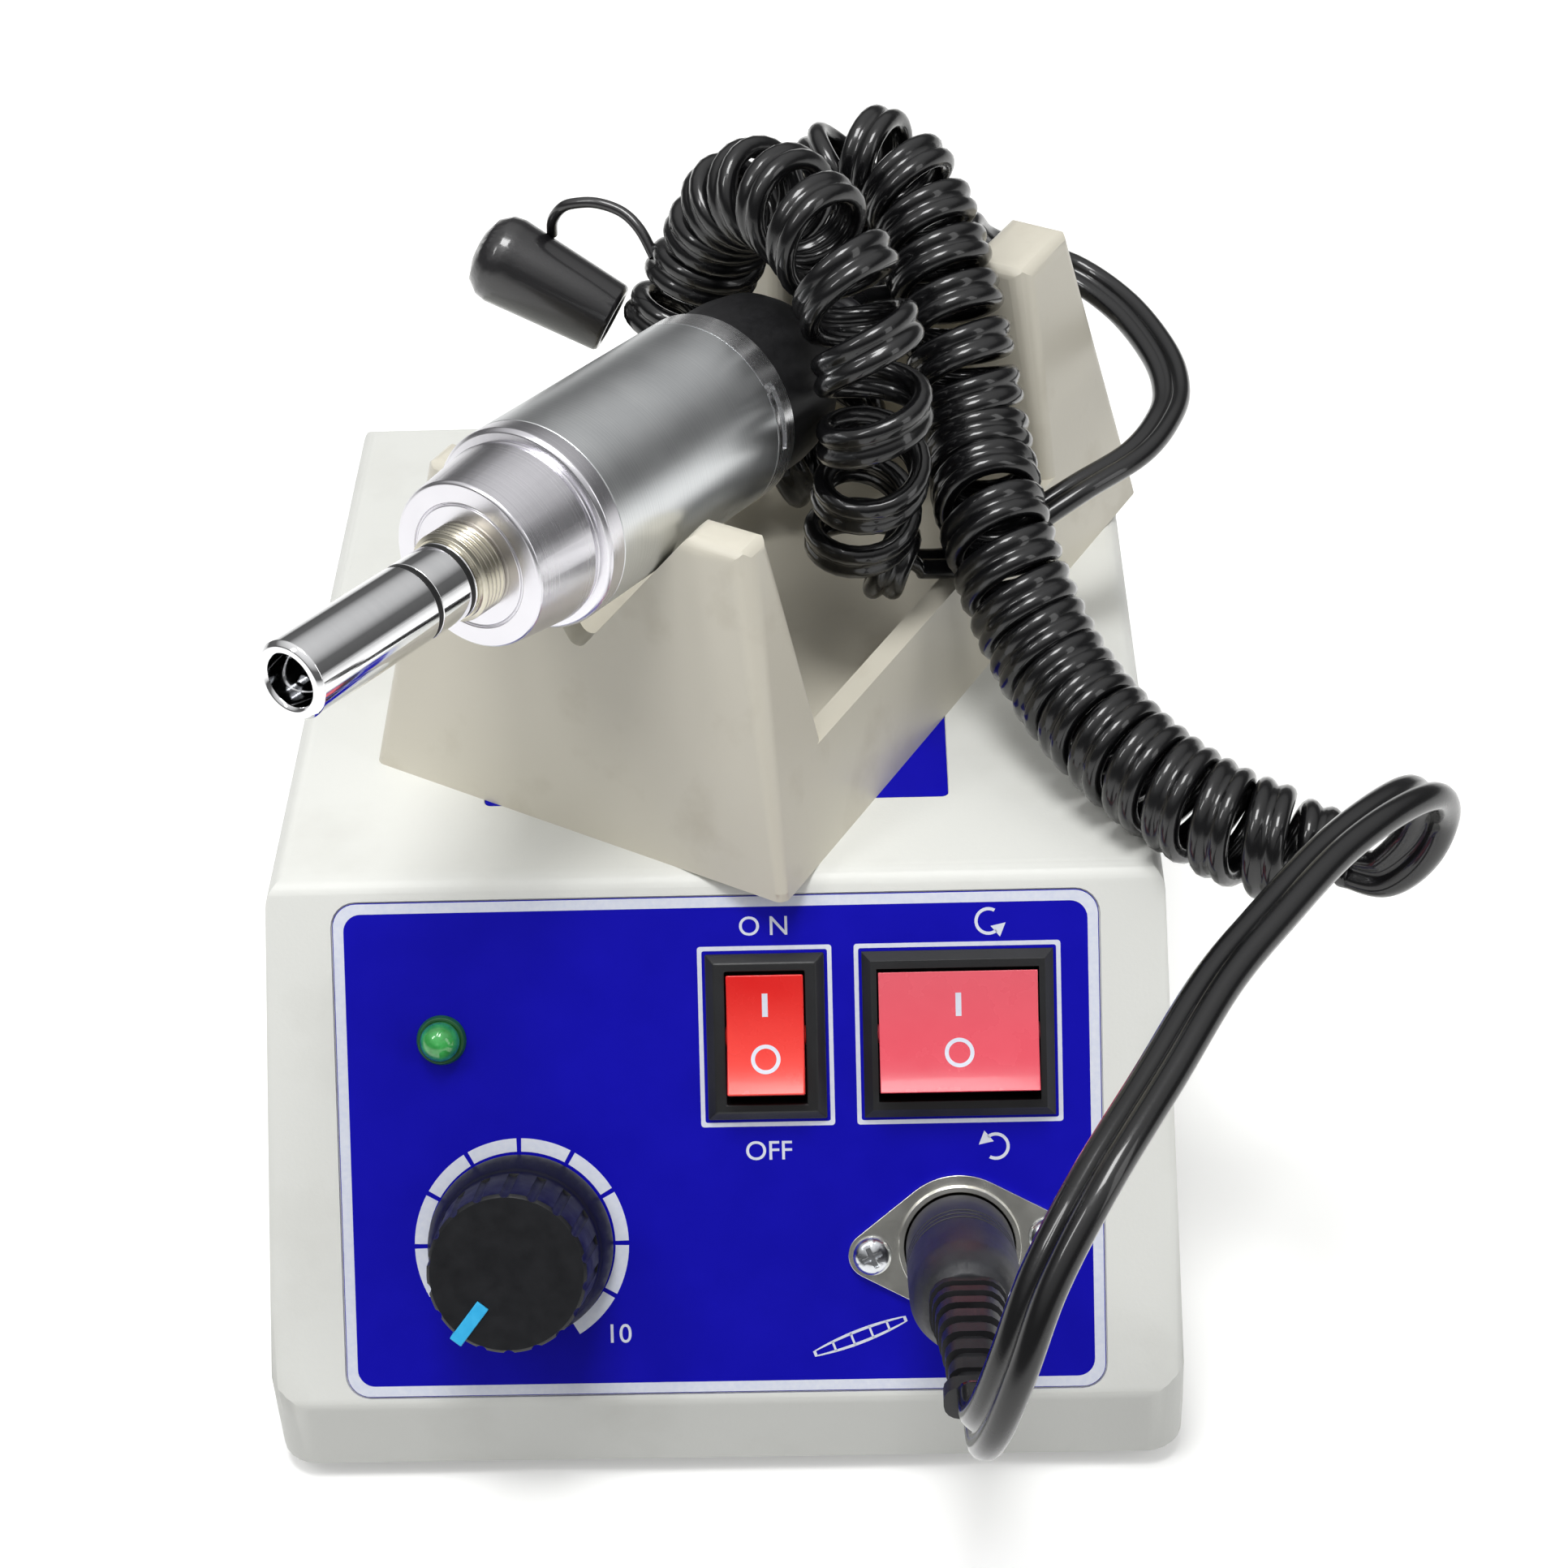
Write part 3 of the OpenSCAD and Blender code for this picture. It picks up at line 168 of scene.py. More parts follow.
def lamp(name, at, aim, size, watts, depth=None):
    """A soft box light at a place, aimed at a point, all in metres."""
    data = bpy.data.lights.new(name, "AREA")
    data.shape, data.size, data.size_y, data.energy = "RECTANGLE", size, depth or size, watts
    made = bpy.data.objects.new(name, data)
    made.location = at
    made.rotation_euler = (Vector(aim) - Vector(at)).to_track_quat("-Z", "Y").to_euler()
    bpy.context.scene.collection.objects.link(made)


lamp("overhead_box", (-0.04, -0.14, 1.05), (0, 0, 0.05), 0.34, 5.4)
lamp("left_window", (-0.5, -0.3, 0.85), (0, -0.02, 0.08), 0.12, 1.3, 0.3)
lamp("side_strip", (0.8, -0.45, 0.5), (0, -0.02, 0.08), 0.25, 1.1, 0.7)

FLOOR_HALF = 6.0
sheet = Finish("studio_sheet", roughness=0.9)
seen = [sheet.node("ShaderNodeLightPath", out=ray)
        for ray in ("Is Camera Ray", "Is Glossy Ray", "Is Transmission Ray")]
in_view = sheet.node("ShaderNodeMath", {"operation": "MAXIMUM"}, {
    0: sheet.node("ShaderNodeMath", {"operation": "MAXIMUM"}, {0: seen[0], 1: seen[1]}), 1: seen[2]})
sheet.wear(base_color=sheet.mixed(in_view, tone(176, 176, 176), tone(255, 255, 254)))
sheet.wear(specular_ior_level=0.0, emission_strength=1.0, emission_color=sheet.mixed(
    in_view, tone(0, 0, 0), tone(140, 140, 139)))
floor_corners = [(x * FLOOR_HALF, y * FLOOR_HALF, 0.0) for x, y in ((-1, -1), (1, -1), (1, 1), (-1, 1))]
floor = show("studio_floor", mesh_of("studio_floor", floor_corners, [(0, 1, 2, 3)]), sheet)

# World. White behind the unit and a weaker, even light on it; polished metal mirrors a ramp
# of greys by height instead, which gives it dark bands.
AIR_LIGHT = 0.46
MIRRORED_GREYS = ((0.0, 0.5), (1.0, 0.6), (0.08, 0.1), (0.4, 0.13), (0.58, 0.5))
world = bpy.data.worlds.new("studio")
world.use_nodes = True
bpy.context.scene.world = world
air = world.node_tree
rays = air.nodes.new("ShaderNodeLightPath")
view_ray = air.nodes.new("ShaderNodeMath")
view_ray.operation = "MAXIMUM"
air.links.new(rays.outputs["Is Camera Ray"], view_ray.inputs[0])
air.links.new(rays.outputs["Is Transmission Ray"], view_ray.inputs[1])
brightness = air.nodes.new("ShaderNodeMapRange")
brightness.inputs["To Min"].default_value = AIR_LIGHT
brightness.inputs["To Max"].default_value = 1.0
air.links.new(view_ray.outputs[0], brightness.inputs["Value"])
sky = air.nodes.new("ShaderNodeTexCoord")
upward = air.nodes.new("ShaderNodeSeparateXYZ")
air.links.new(sky.outputs["Generated"], upward.inputs[0])
room = air.nodes.new("ShaderNodeValToRGB")
for stop, (at, grey) in zip([room.color_ramp.elements[0], room.color_ramp.elements[1]]
                            + [room.color_ramp.elements.new(0.5) for _ in range(3)], MIRRORED_GREYS):
    stop.position, stop.color = at, (grey, grey, grey, 1.0)
air.links.new(upward.outputs["Z"], room.inputs["Fac"])
mirrored = air.nodes.new("ShaderNodeMix")
air.links.new(rays.outputs["Is Glossy Ray"], mirrored.inputs[0])
air.links.new(brightness.outputs[0], mirrored.inputs[2])
air.links.new(room.outputs["Color"], mirrored.inputs[3])
air.nodes["Background"].inputs["Color"].default_value = (1.0, 1.0, 1.0, 1.0)
air.links.new(mirrored.outputs[0], air.nodes["Background"].inputs["Strength"])

# Motor lead. One twin flex, two black PVC strands side by side: it leaves the motor, runs behind
# the cradle, is wound in about 44 curls set by heat, and ends in the tail to the plug. A row
# of the coil's route is a place on its axis and the pitch there, all in millimetres.
COIL_ROUTE = [
    (26.5, 7, 86.8, 8), (22, 4.6, 88.4, 8), (19.4, 4.4, 93, 8), (20.8, 1.2, 103, 9), (21.5, 0, 112, 9.4),
    (20.8, 3.4, 122, 9), (17.2, 11, 129.8, 8.5), (13.2, 18.6, 132, 8), (8.4, 27, 131, 7.5),
    (4, 33, 126.2, 7), (0.8, 35.8, 118.8, 7), (-2.8, 36.2, 111.2, 7.5), (-6.4, 36.8, 102.4, 8.5),
    (-5.5, 37.4, 92.4, 9.5), (1, 38, 83.8, 9.5), (9, 40.4, 82.4, 9.5), (15.4, 43.6, 87.2, 9),
    (17.4, 46, 95, 8.8), (16.8, 48.4, 103, 8.2), (16.4, 50.6, 111, 7.4), (16.6, 52, 117.2, 6.8),
    (19, 52, 121.8, 6.2), (23, 49.4, 123.4, 6), (26.8, 44.8, 121.8, 6), (29.4, 39, 117.8, 6.2),
    (31.4, 32.4, 112.8, 6.4), (33, 26, 107.4, 6.5), (35, 17.6, 98.6, 6.4), (36.6, 6.4, 94.4, 6),
    (38.8, -0.2, 89.6, 5.8), (41.6, -6, 84.8, 5.7), (45.4, -12.6, 80.6, 5.7), (50.2, -20, 78.2, 5.7),
    (55.8, -26.6, 76.4, 5.8), (62.2, -32.2, 75.1, 6), (68.6, -36, 74.2, 6.4), (74, -38.2, 73.6, 6.6),
    (78.4, -40.6, 73.2, 6.6)]
FRONT_TAIL = [
    (78.4, -40.6, 73.2), (82, -43.4, 74.8), (85.4, -45, 80.6), (86.2, -46.6, 87.6), (83.6, -51, 93.4),
    (78, -57, 95.6), (71.4, -63.8, 95.6), (64.2, -72.7, 94.6), (57.1, -81.9, 93), (49.8, -94, 90.4),
    (42.6, -105, 86.8), (37, -112.6, 80.4), (33.6, -117.4, 72.6), (31.4, -118, 65.2),
    (30.2, -115.2, 59.6), (30, -110.9, 58.7)]
REAR_TAIL = [
    (18.3, 33.3, 108.5), (20.9, 37.5, 107.9), (25.7, 39.8, 107.5), (31.4, 43.4, 107.4),
    (34.6, 48.4, 108.4), (36, 54.4, 109.8), (38, 60, 104.8), (43, 63, 100.6), (50.4, 64.4, 97.4),
    (57.4, 57.6, 95.2), (61.8, 46.4, 94), (62.6, 37.4, 93.4), (60.6, 29.7, 93.4), (56.4, 22.6, 93),
    (48.8, 17, 91.6), (42, 13.6, 88.8), (37, 11.2, 86.4), (31.6, 9, 85.6), (26.5, 7, 86.8)]
CURL_RADIUS = 6.1
CURL_RINGS = 26
CURL_STRAND, REAR_STRAND, FRONT_STRAND = 1.32, 1.35, 1.7
STRAIGHT_TURNS, OPENING_TURNS = 0.15, 0.9
TWIST_SHARE = 0.45
TAPER_RINGS = 16
COIL_STEPS, REAR_STEPS, FRONT_STEPS = 8, 7, 9
LOBE_HALF, LOBE_STEP, WAIST = 130, 26, 0.5
RUN_PER_MM = 0.01


def smooth_line(points, steps):
    """Smooth line through route points; further columns are carried along."""
    line = []
    for i in range(len(points) - 1):
        four = (points[max(i - 1, 0)], points[i], points[i + 1], points[min(i + 2, len(points) - 1)])
        for k in range(steps):
            t = k / steps
            line.append([(2 * b + (c - a) * t + (2 * a - 5 * b + 4 * c - d) * t * t
                          + (3 * b - a - 3 * c + d) * t ** 3) / 2 for a, b, c, d in zip(*four)])
    return line + [list(points[-1])]


def headings(line):
    """The direction of a line at each of its points."""
    last = len(line) - 1
    return [(line[min(i + 1, last)] - line[max(i - 1, 0)]).normalized() for i in range(last + 1)]


def square_to(side, heading):
    """A side direction turned square to a heading."""
    return (side - side.dot(heading) * heading).normalized()


def carried_sides(line_headings, first):
    """One side direction carried along a line without twisting about it."""
    sides = [square_to(Vector(first), line_headings[0])]
    for heading in line_headings[1:]:
        sides.append(square_to(sides[-1], heading))
    return sides


def eased(x):
    """Rises smoothly from 0 to 1 while x does."""
    x = min(max(x, 0.0), 1.0)
    return x * x * (3 - 2 * x)


def looked_up(turn, turns, rows):
    """Row of a table at a number of turns, between its entries."""
    low, high = 0, len(turns) - 1
    while high - low > 1:
        middle = (low + high) // 2
        low, high = (middle, high) if turns[middle] <= turn else (low, middle)
    share = min(max((turn - turns[low]) / (turns[high] - turns[low]), 0.0), 1.0)
    return rows[low].lerp(rows[high], share)


coil_rows = smooth_line(COIL_ROUTE, COIL_STEPS)
coil_line = [Vector(row[:3]) for row in coil_rows]
coil_headings = headings(coil_line)
coil_sides = carried_sides(coil_headings, (0, 0, 1))
coil_turns = [0.0]
for i in range(1, len(coil_rows)):
    coil_turns.append(coil_turns[-1] + (coil_line[i] - coil_line[i - 1]).length / coil_rows[i][3])
turns_total = coil_turns[-1]


def curl_outward(turn):
    """Direction from the coil's axis to the flex at a number of turns."""
    heading = looked_up(turn, coil_turns, coil_headings).normalized()
    side = square_to(looked_up(turn, coil_turns, coil_sides), heading)
    angle = 2 * math.pi * turn
    return side * math.cos(angle) + heading.cross(side) * math.sin(angle)


curl_count = round(turns_total * CURL_RINGS)
curl_places = [turns_total * i / curl_count for i in range(curl_count + 1)]
curl_line = [looked_up(turn, coil_turns, coil_line) + curl_outward(turn) * CURL_RADIUS
             * eased((turn - STRAIGHT_TURNS) / OPENING_TURNS)
             * eased((turns_total - STRAIGHT_TURNS - turn) / OPENING_TURNS)
             for turn in curl_places]
curl_headings = headings(curl_line)
curl_sides = [square_to(curl_outward(turn), heading).cross(heading)
              for turn, heading in zip(curl_places, curl_headings)]


def side_angle(side, wanted, heading):
    """Turn about the heading from one side direction to another, as a twin flex sees it."""
    angle = math.atan2(heading.dot(side.cross(wanted)), side.dot(wanted))
    return (angle + math.pi / 2) % math.pi - math.pi / 2


def flex_tail(route, first, steps, join_side, join_at_end):
    """Line and width directions of a plain tail that is twisted to meet the curls."""
    line = [Vector(row) for row in smooth_line(route, steps)]
    ways = headings(line)
    sides = carried_sides(ways, first)
    joint = len(line) - 1 if join_at_end else 0
    gap = side_angle(sides[joint], join_side, ways[joint])
    span = TWIST_SHARE * len(line)
    for i, way in enumerate(ways):
        share = eased(1 - abs(i - joint) / span)
        sides[i] = Matrix.Rotation(gap * share, 3, way) @ sides[i]
    if sides[joint].dot(join_side) < 0:
        sides = [-side for side in sides]
    return line, sides


rear_line, rear_sides = flex_tail(REAR_TAIL, (0, 0, 1), REAR_STEPS, curl_sides[0], True)
front_line, front_sides = flex_tail(FRONT_TAIL, (0, -0.5, 0.8), FRONT_STEPS, curl_sides[-1], False)
flex_line = rear_line[:-1] + curl_line + front_line[1:]
flex_sides = rear_sides[:-1] + curl_sides + front_sides[1:]
flex_headings = headings(flex_line)
flex_radii = [REAR_STRAND] * (len(rear_line) - 1) + [CURL_STRAND] * len(curl_line)
flex_radii += [CURL_STRAND + (FRONT_STRAND - CURL_STRAND) * eased(i / TAPER_RINGS)
               for i in range(1, len(front_line))]
lobe = [(1 + math.cos(math.radians(a)), math.sin(math.radians(a)))
        for a in range(-LOBE_HALF, LOBE_HALF + 1, LOBE_STEP)]
outline = lobe + [(0.0, WAIST)] + [(-x, -y) for x, y in lobe] + [(0.0, -WAIST)]
flex_points, flex_faces = [], []
for centre, side, heading, radius in zip(flex_line, flex_sides, flex_headings, flex_radii):
    side = square_to(side, heading)
    over = heading.cross(side)
    flex_points += [(centre + side * (x * radius) + over * (y * radius)) * MM for x, y in outline]
round_count = len(outline)
for ring in range(len(flex_line) - 1):
    for k in range(round_count):
        a, b = ring * round_count + k, ring * round_count + (k + 1) % round_count
        flex_faces.append((a, b, b + round_count, a + round_count))
flex_faces.append(tuple(range(round_count - 1, -1, -1)))
flex_faces.append(tuple(range(len(flex_points) - round_count, len(flex_points))))
flex_mesh = mesh_of("motor_lead", flex_points, flex_faces)
flex_length = [0.0]
for i in range(1, len(flex_line)):
    flex_length.append(flex_length[-1] + (flex_line[i] - flex_line[i - 1]).length)
flex_map = flex_mesh.uv_layers.new(name="run")
for face in flex_mesh.polygons:
    for loop in face.loop_indices:
        point = flex_mesh.loops[loop].vertex_index
        ring, k = divmod(point, round_count)
        around = 1.0 if k == 0 and face.index < len(flex_faces) - 2 and (
            max(flex_mesh.loops[n].vertex_index % round_count for n in face.loop_indices)
            == round_count - 1) else k / round_count
        flex_map.data[loop].uv = (around, flex_length[ring] * RUN_PER_MM)
flex_mesh.shade_smooth()

pvc = Finish("cord_black", roughness=0.3, coat_weight=0.6, coat_roughness=0.05)
run = pvc.node("ShaderNodeUVMap", {"uv_map": "run"})
drawn = pvc.noise(1.0, 3.0, pvc.node("ShaderNodeMapping", None, {0: run, "Scale": (0.02, 0.004, 1.0)}))
smear = pvc.noise(14.0, 4.0)
pvc.wear(base_color=pvc.mixed(smear, tone(7, 7, 8), tone(18, 18, 20)),
         roughness=0.2 + 0.14 * smear, specular_ior_level=0.32)
pvc.relief(drawn * 0.6 + pvc.noise(0.5) * 0.4, 0.22, 0.12)
motor_lead = show("motor_lead", flex_mesh, pvc)
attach(motor_lead, "unit")
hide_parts("lead_rear_tail", "curly_lead", "lead_front_tail")
flex_path = [tuple(point * MM) for point in flex_line]

# Strap of the dust cap. A thin loop of soft rubber moulded with the cap, which slips over
# one of the curls; the cap itself hangs from it beside the coil.
STRAP_ROUTE = [(-21.8, 46, 115.8), (-21.4, 44.6, 118.6), (-20, 43.4, 121), (-18.2, 42.8, 122),
               (-15, 42, 122.4), (-11.6, 40.8, 121.6), (-9.2, 38.9, 119.9), (-7.4, 36.8, 117)]
STRAP_RADIUS = 0.75
STRAP_SIDE = (0.1, 1, 0.2)
TUBE_SHARP = math.radians(50)


def tube(name, line, radius, around=14):
    """Closed round tube along a smooth line, in millimetres."""
    ways = headings(line)
    points, faces = [], []
    for centre, way, side in zip(line, ways, carried_sides(ways, STRAP_SIDE)):
        for k in range(around):
            a = 2 * math.pi * k / around
            points.append((centre + radius * (side * math.cos(a) + way.cross(side) * math.sin(a))) * MM)
    for ring in range(len(line) - 1):
        for k in range(around):
            a, b = ring * around + k, ring * around + (k + 1) % around
            faces.append((a, b, b + around, a + around))
    faces += [tuple(range(around - 1, -1, -1)), tuple(range(len(points) - around, len(points)))]
    made = mesh_of(name, points, faces)
    made.shade_smooth()
    made.set_sharp_from_angle(angle=TUBE_SHARP)
    return made


def moulded(name, low, high, cloud, rough, spread, grain=None, bump=None, **surface):
    """Plastic, rubber or ink: two close tones in soft clouds, rougher in the second, on a fine
    grain. Cloud and grain are a size in millimetres and a detail, bump a strength and a depth."""
    finish = Finish(name, **surface)
    patch = finish.noise(*cloud)
    finish.wear(base_color=finish.mixed(patch, low, high), roughness=rough + spread * patch)
    if grain:
        finish.relief(finish.noise(*grain), *bump)
    return finish


soft_rubber = moulded("soft_black", tone(9, 8, 10), tone(22, 20, 24), (6.0, 4.0), 0.3, 0.2, (0.35, 3.0),
                      (0.25, 0.08), specular_ior_level=0.5, coat_weight=0.9, coat_roughness=0.14)
cap_strap = show("dust_cap_strap", tube(
    "dust_cap_strap", [Vector(row) for row in smooth_line(STRAP_ROUTE, 6)], STRAP_RADIUS), soft_rubber)
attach(cap_strap, "unit")
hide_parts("cap_strap")

# Dust cap. A moulded rubber cup that closes the nose when the handpiece lies idle; satin
# black, with its closed end rounded.
MERGED_M = 3e-6
FLAT, BROKEN, SHARP = math.radians(0.6), math.radians(32), math.radians(34)


def softened(name, node, finish, edge=0.2, body="unit", segments=2):
    """The shape of a solid with its edges broken and its curves shaded smooth, in its place."""
    mesh = nodes[node].data.copy()
    shape = bmesh.new()
    shape.from_mesh(mesh)
    bmesh.ops.remove_doubles(shape, verts=shape.verts, dist=MERGED_M)
    bmesh.ops.dissolve_limit(shape, angle_limit=FLAT, verts=shape.verts, edges=shape.edges)
    shape.to_mesh(mesh)
    shape.free()
    mesh.name = name
    draft = bpy.data.objects.new(name + "_draft", mesh)
    bpy.context.scene.collection.objects.link(draft)
    bevel = draft.modifiers.new("edges", "BEVEL")
    bevel.width, bevel.segments, bevel.limit_method = edge * MM, segments, "ANGLE"
    bevel.angle_limit = BROKEN
    shaped = bpy.data.meshes.new_from_object(draft.evaluated_get(bpy.context.evaluated_depsgraph_get()))
    shaped.shade_smooth()
    shaped.set_sharp_from_angle(angle=SHARP)
    draft.modifiers.remove(bevel)
    draft.data = shaped
    evened = draft.modifiers.new("shading", "WEIGHTED_NORMAL")
    evened.keep_sharp = True
    final = bpy.data.meshes.new_from_object(draft.evaluated_get(bpy.context.evaluated_depsgraph_get()))
    bpy.data.objects.remove(draft)
    made = show(name, final, finish)
    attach(made, body)
    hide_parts(node)
    return made


dust_cap = softened("dust_cap_moulding", "dust_cap", soft_rubber, 0.3)


def dress(finish, *names):
    """Gives solids that keep their own shape a finished material."""
    for name in names:
        for place in nodes[name].material_slots:
            place.material = finish.material


# Base plate, feet and case screws. The plate is 2 mm steel with two rows of cooling slots,
# painted dark grey; four rubber feet are pressed on it and each hides a zinc-plated screw.
steel_paint = Finish("plate_steel", specular_ior_level=0.4)
orange_peel = steel_paint.noise(1.4, 3.0)
steel_paint.wear(
    base_color=steel_paint.mixed(steel_paint.noise(22.0, 4.0), tone(52, 53, 55), tone(66, 67, 69)),
    roughness=0.42 + 0.2 * orange_peel)
steel_paint.relief(orange_peel, 0.3, 0.15)
softened("base_tray", "base_plate", steel_paint, 0.2)

foot_compound = moulded("foot_rubber", tone(26, 26, 27), tone(58, 57, 56), (3.0, 5.0), 0.62, 0.25,
                        (0.4, 3.0), (0.4, 0.1), specular_ior_level=0.35)
softened("moulded_feet", "rubber_feet", foot_compound, 0.3)


def plated(name, low, high, rough):
    """A plated or bare metal: cloudy plating over faint tool marks."""
    metal = Finish(name, metallic=1.0)
    cloud = metal.noise(2.5, 4.0)
    metal.wear(base_color=metal.mixed(cloud, low, high), roughness=rough + 0.16 * cloud)
    metal.relief(metal.noise(0.5, 3.0), 0.12, 0.05)
    return metal


zinc = plated("screw_zinc", tone(188, 190, 193), tone(232, 233, 232), 0.22)
softened("tray_screws", "case_screws", zinc, 0.15)

# Case. One injection moulding in off-white ABS with a fine eroded texture, set over the
# base plate from above; the panel and the top carry shallow pockets for their sheets.
abs_plastic = Finish("housing_plastic", specular_ior_level=0.45)
tint = abs_plastic.noise(46.0, 3.0)
erosion = abs_plastic.noise(0.55, 4.0)
handling = abs_plastic.limited(abs_plastic.noise(17.0, 6.0), 0.52, 0.72)
abs_plastic.wear(
    base_color=abs_plastic.mixed(0.35 * handling, abs_plastic.mixed(
        tint, tone(229, 230, 225), tone(236, 237, 232)), tone(212, 212, 205)),
    roughness=0.36 + 0.16 * erosion + 0.1 * handling)
abs_plastic.relief(erosion, 0.22, 0.09)
softened("case_moulding", "upper_housing", abs_plastic, 0.3)

# Panel sheet. A polycarbonate sheet in deep blue, printed with a pale border and white marks,
# and glued into its pocket; a plain sheet of the same blue lies on the case's top.
blue_sheet = moulded("label_blue", tone(10, 6, 168), tone(18, 12, 186), (7.0, 5.0), 0.34, 0.16,
                     (1.1, 3.0), (0.1, 0.05), specular_ior_level=0.12)
softened("panel_sheet", "panel_label", blue_sheet, 0.08)
softened("top_sheet", "top_label", blue_sheet, 0.08)

PANEL_ANGLE = math.radians(54.9)
PANEL_EDGE = Vector((0, -34.5, 69))
SHEET_H = -0.1
INK = 0.03
POWER_X, DIRECTION_X, SWITCH_DOWN = 6.2, 30.4, 20.5
KNOB_X, KNOB_DOWN = -25.4, 46.5
LAMP_X, LAMP_DOWN = -34.8, 20.2
LETTER_H = 2.4
panel = Matrix.Translation(PANEL_EDGE * MM) @ Matrix.Rotation(PANEL_ANGLE, 4, "X") @ Matrix.Scale(MM, 4)


def panel_spot(x, down, height=0.0):
    """A place on the panel: across from its middle, down from the case's edge, off its face."""
    return panel @ Matrix.Translation((x, -down, height))


def slab(outlines, low, high, place):
    """Flat pieces between two heights, each from one outline, or from an outer and an inner one."""
    points, faces = [], []
    for outer, inner in outlines:
        start, count = len(points), len(outer)
        for ring in (outer, inner) if inner else (outer,):
            for h in (low, high):
                points += [place @ Vector((x, y, h)) for x, y in ring]
        if inner:
            rings = [start, start + count, start + 3 * count, start + 2 * count, start]
            for a, b in zip(rings, rings[1:]):
                for k in range(count):
                    n = (k + 1) % count
                    faces.append((a + k, a + n, b + n, b + k))
        else:
            faces.append(tuple(range(start + count - 1, start - 1, -1)))
            faces.append(tuple(range(start + count, start + 2 * count)))
            faces += [(start + k, start + (k + 1) % count, start + count + (k + 1) % count,
                       start + count + k) for k in range(count)]
    return points, faces


def round_box(w, h, r, n=8, at=(0, 0)):
    """Outline of a box with round corners, counter-clockwise."""
    ring = []
    for corner, (sx, sy) in enumerate(((1, -1), (1, 1), (-1, 1), (-1, -1))):
        for k in range(n + 1):
            a = math.radians(90 * (corner - 1) + 90 * k / n)
            ring.append((at[0] + sx * (w / 2 - r) + r * math.cos(a),
                         at[1] + sy * (h / 2 - r) + r * math.sin(a)))
    return ring


def arc_strip(r0, r1, start, end, n, at=(0, 0)):
    """Outline of a part of a ring."""
    turns = [math.radians(start + (end - start) * k / n) for k in range(n + 1)]
    return ([(at[0] + r1 * math.cos(a), at[1] + r1 * math.sin(a)) for a in turns]
            + [(at[0] + r0 * math.cos(a), at[1] + r0 * math.sin(a)) for a in reversed(turns)])


def line_strip(points, width):
    """Outline of a line of even width through points."""
    run = [Vector(p) for p in points]
    sides = []
    for i, p in enumerate(run):
        way = (run[min(i + 1, len(run) - 1)] - run[max(i - 1, 0)]).normalized()
        sides.append(Vector((-way.y, way.x)) * width / 2)
    return ([tuple(p - s) for p, s in zip(run, sides)]
            + [tuple(p + s) for p, s in zip(reversed(run), reversed(sides))])


CAPITAL_SHARE = 0.7
BOLDER = 0.004


def lettering(text, size, place):
    """Plain letters as points and faces, their baseline's middle at the place."""
    letters = bpy.data.curves.new("letters", "FONT")
    letters.body, letters.size, letters.align_x = text, size / CAPITAL_SHARE, "CENTER"
    letters.extrude, letters.offset, letters.resolution_u = INK / 2, BOLDER * size, 6
    draft = bpy.data.objects.new("letters", letters)
    bpy.context.scene.collection.objects.link(draft)
    flat = bpy.data.meshes.new_from_object(draft.evaluated_get(bpy.context.evaluated_depsgraph_get()))
    bpy.data.objects.remove(draft)
    return [place @ v.co for v in flat.vertices], [tuple(face.vertices) for face in flat.polygons]


def joined(name, parts, finish, body):
    """One piece from several sets of points and faces."""
    points, faces = [], []
    for some_points, some_faces in parts:
        faces += [tuple(i + len(points) for i in face) for face in some_faces]
        points += some_points
    made = show(name, mesh_of(name, points, faces), finish)
    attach(made, body)
    return made


ink = moulded("print_ink", tone(214, 220, 240), tone(236, 239, 247), (0.7, 3.0), 0.4, 0.15,
              specular_ior_level=0.4)
ARROWS = ((34.4, 6.5, 60), (34.8, 35.0, 240))
ARROW_SWEEP, ARROW_INNER, ARROW_OUTER = 250, 1.35, 1.75
HEAD_HALF, HEAD_BACK, HEAD_FRONT = 0.9, 0.2, 1.5


def turning_arrow(x, down, start):
    """Part of a ring with an arrow head on its end, in degrees from a start."""
    middle = (x, -down)
    tip = math.radians(start + ARROW_SWEEP)
    out = Vector((math.cos(tip), math.sin(tip)))
    way = Vector((-out.y, out.x))
    head = out * ((ARROW_INNER + ARROW_OUTER) / 2) + Vector(middle)
    return [(arc_strip(ARROW_INNER, ARROW_OUTER, start, start + ARROW_SWEEP, 20, middle), None),
            ([tuple(head - out * HEAD_HALF - way * HEAD_BACK),
              tuple(head + out * HEAD_HALF - way * HEAD_BACK), tuple(head + way * HEAD_FRONT)], None)]


LEAF_AT, LEAF_L, LEAF_HALF = Vector((11.3, -61.2)), 12.6, 0.95
LEAF_STEPS = 16
LEAF_START, LEAF_SPAN, LEAF_BLUNT = 0.08, 0.84, 0.7
along_leaf = Vector((11.8, 4.4)).normalized()
across_leaf = Vector((-along_leaf.y, along_leaf.x))


def leaf_edge(t, grow):
    """Half outline of the small handpiece drawing."""
    width = (LEAF_HALF * math.sin(math.pi * (LEAF_START + LEAF_SPAN * t)) ** LEAF_BLUNT) * grow
    return LEAF_AT + along_leaf * (t * LEAF_L) + across_leaf * width


def leaf_ring(inset, grow):
    """Whole outline of the handpiece drawing, with its ends drawn in by a share of its length."""
    shares = [inset + (1 - 2 * inset) * t / LEAF_STEPS for t in range(LEAF_STEPS + 1)]
    return [leaf_edge(t, -grow) for t in shares] + [leaf_edge(1 - t, grow) for t in shares]


def ringed(w, h, r, line, at):
    """A printed line round a box with round corners: its outer and its inner outline."""
    return round_box(w, h, r, at=at), round_box(w - 2 * line[0], h - 2 * line[0], r - line[1], at=at)


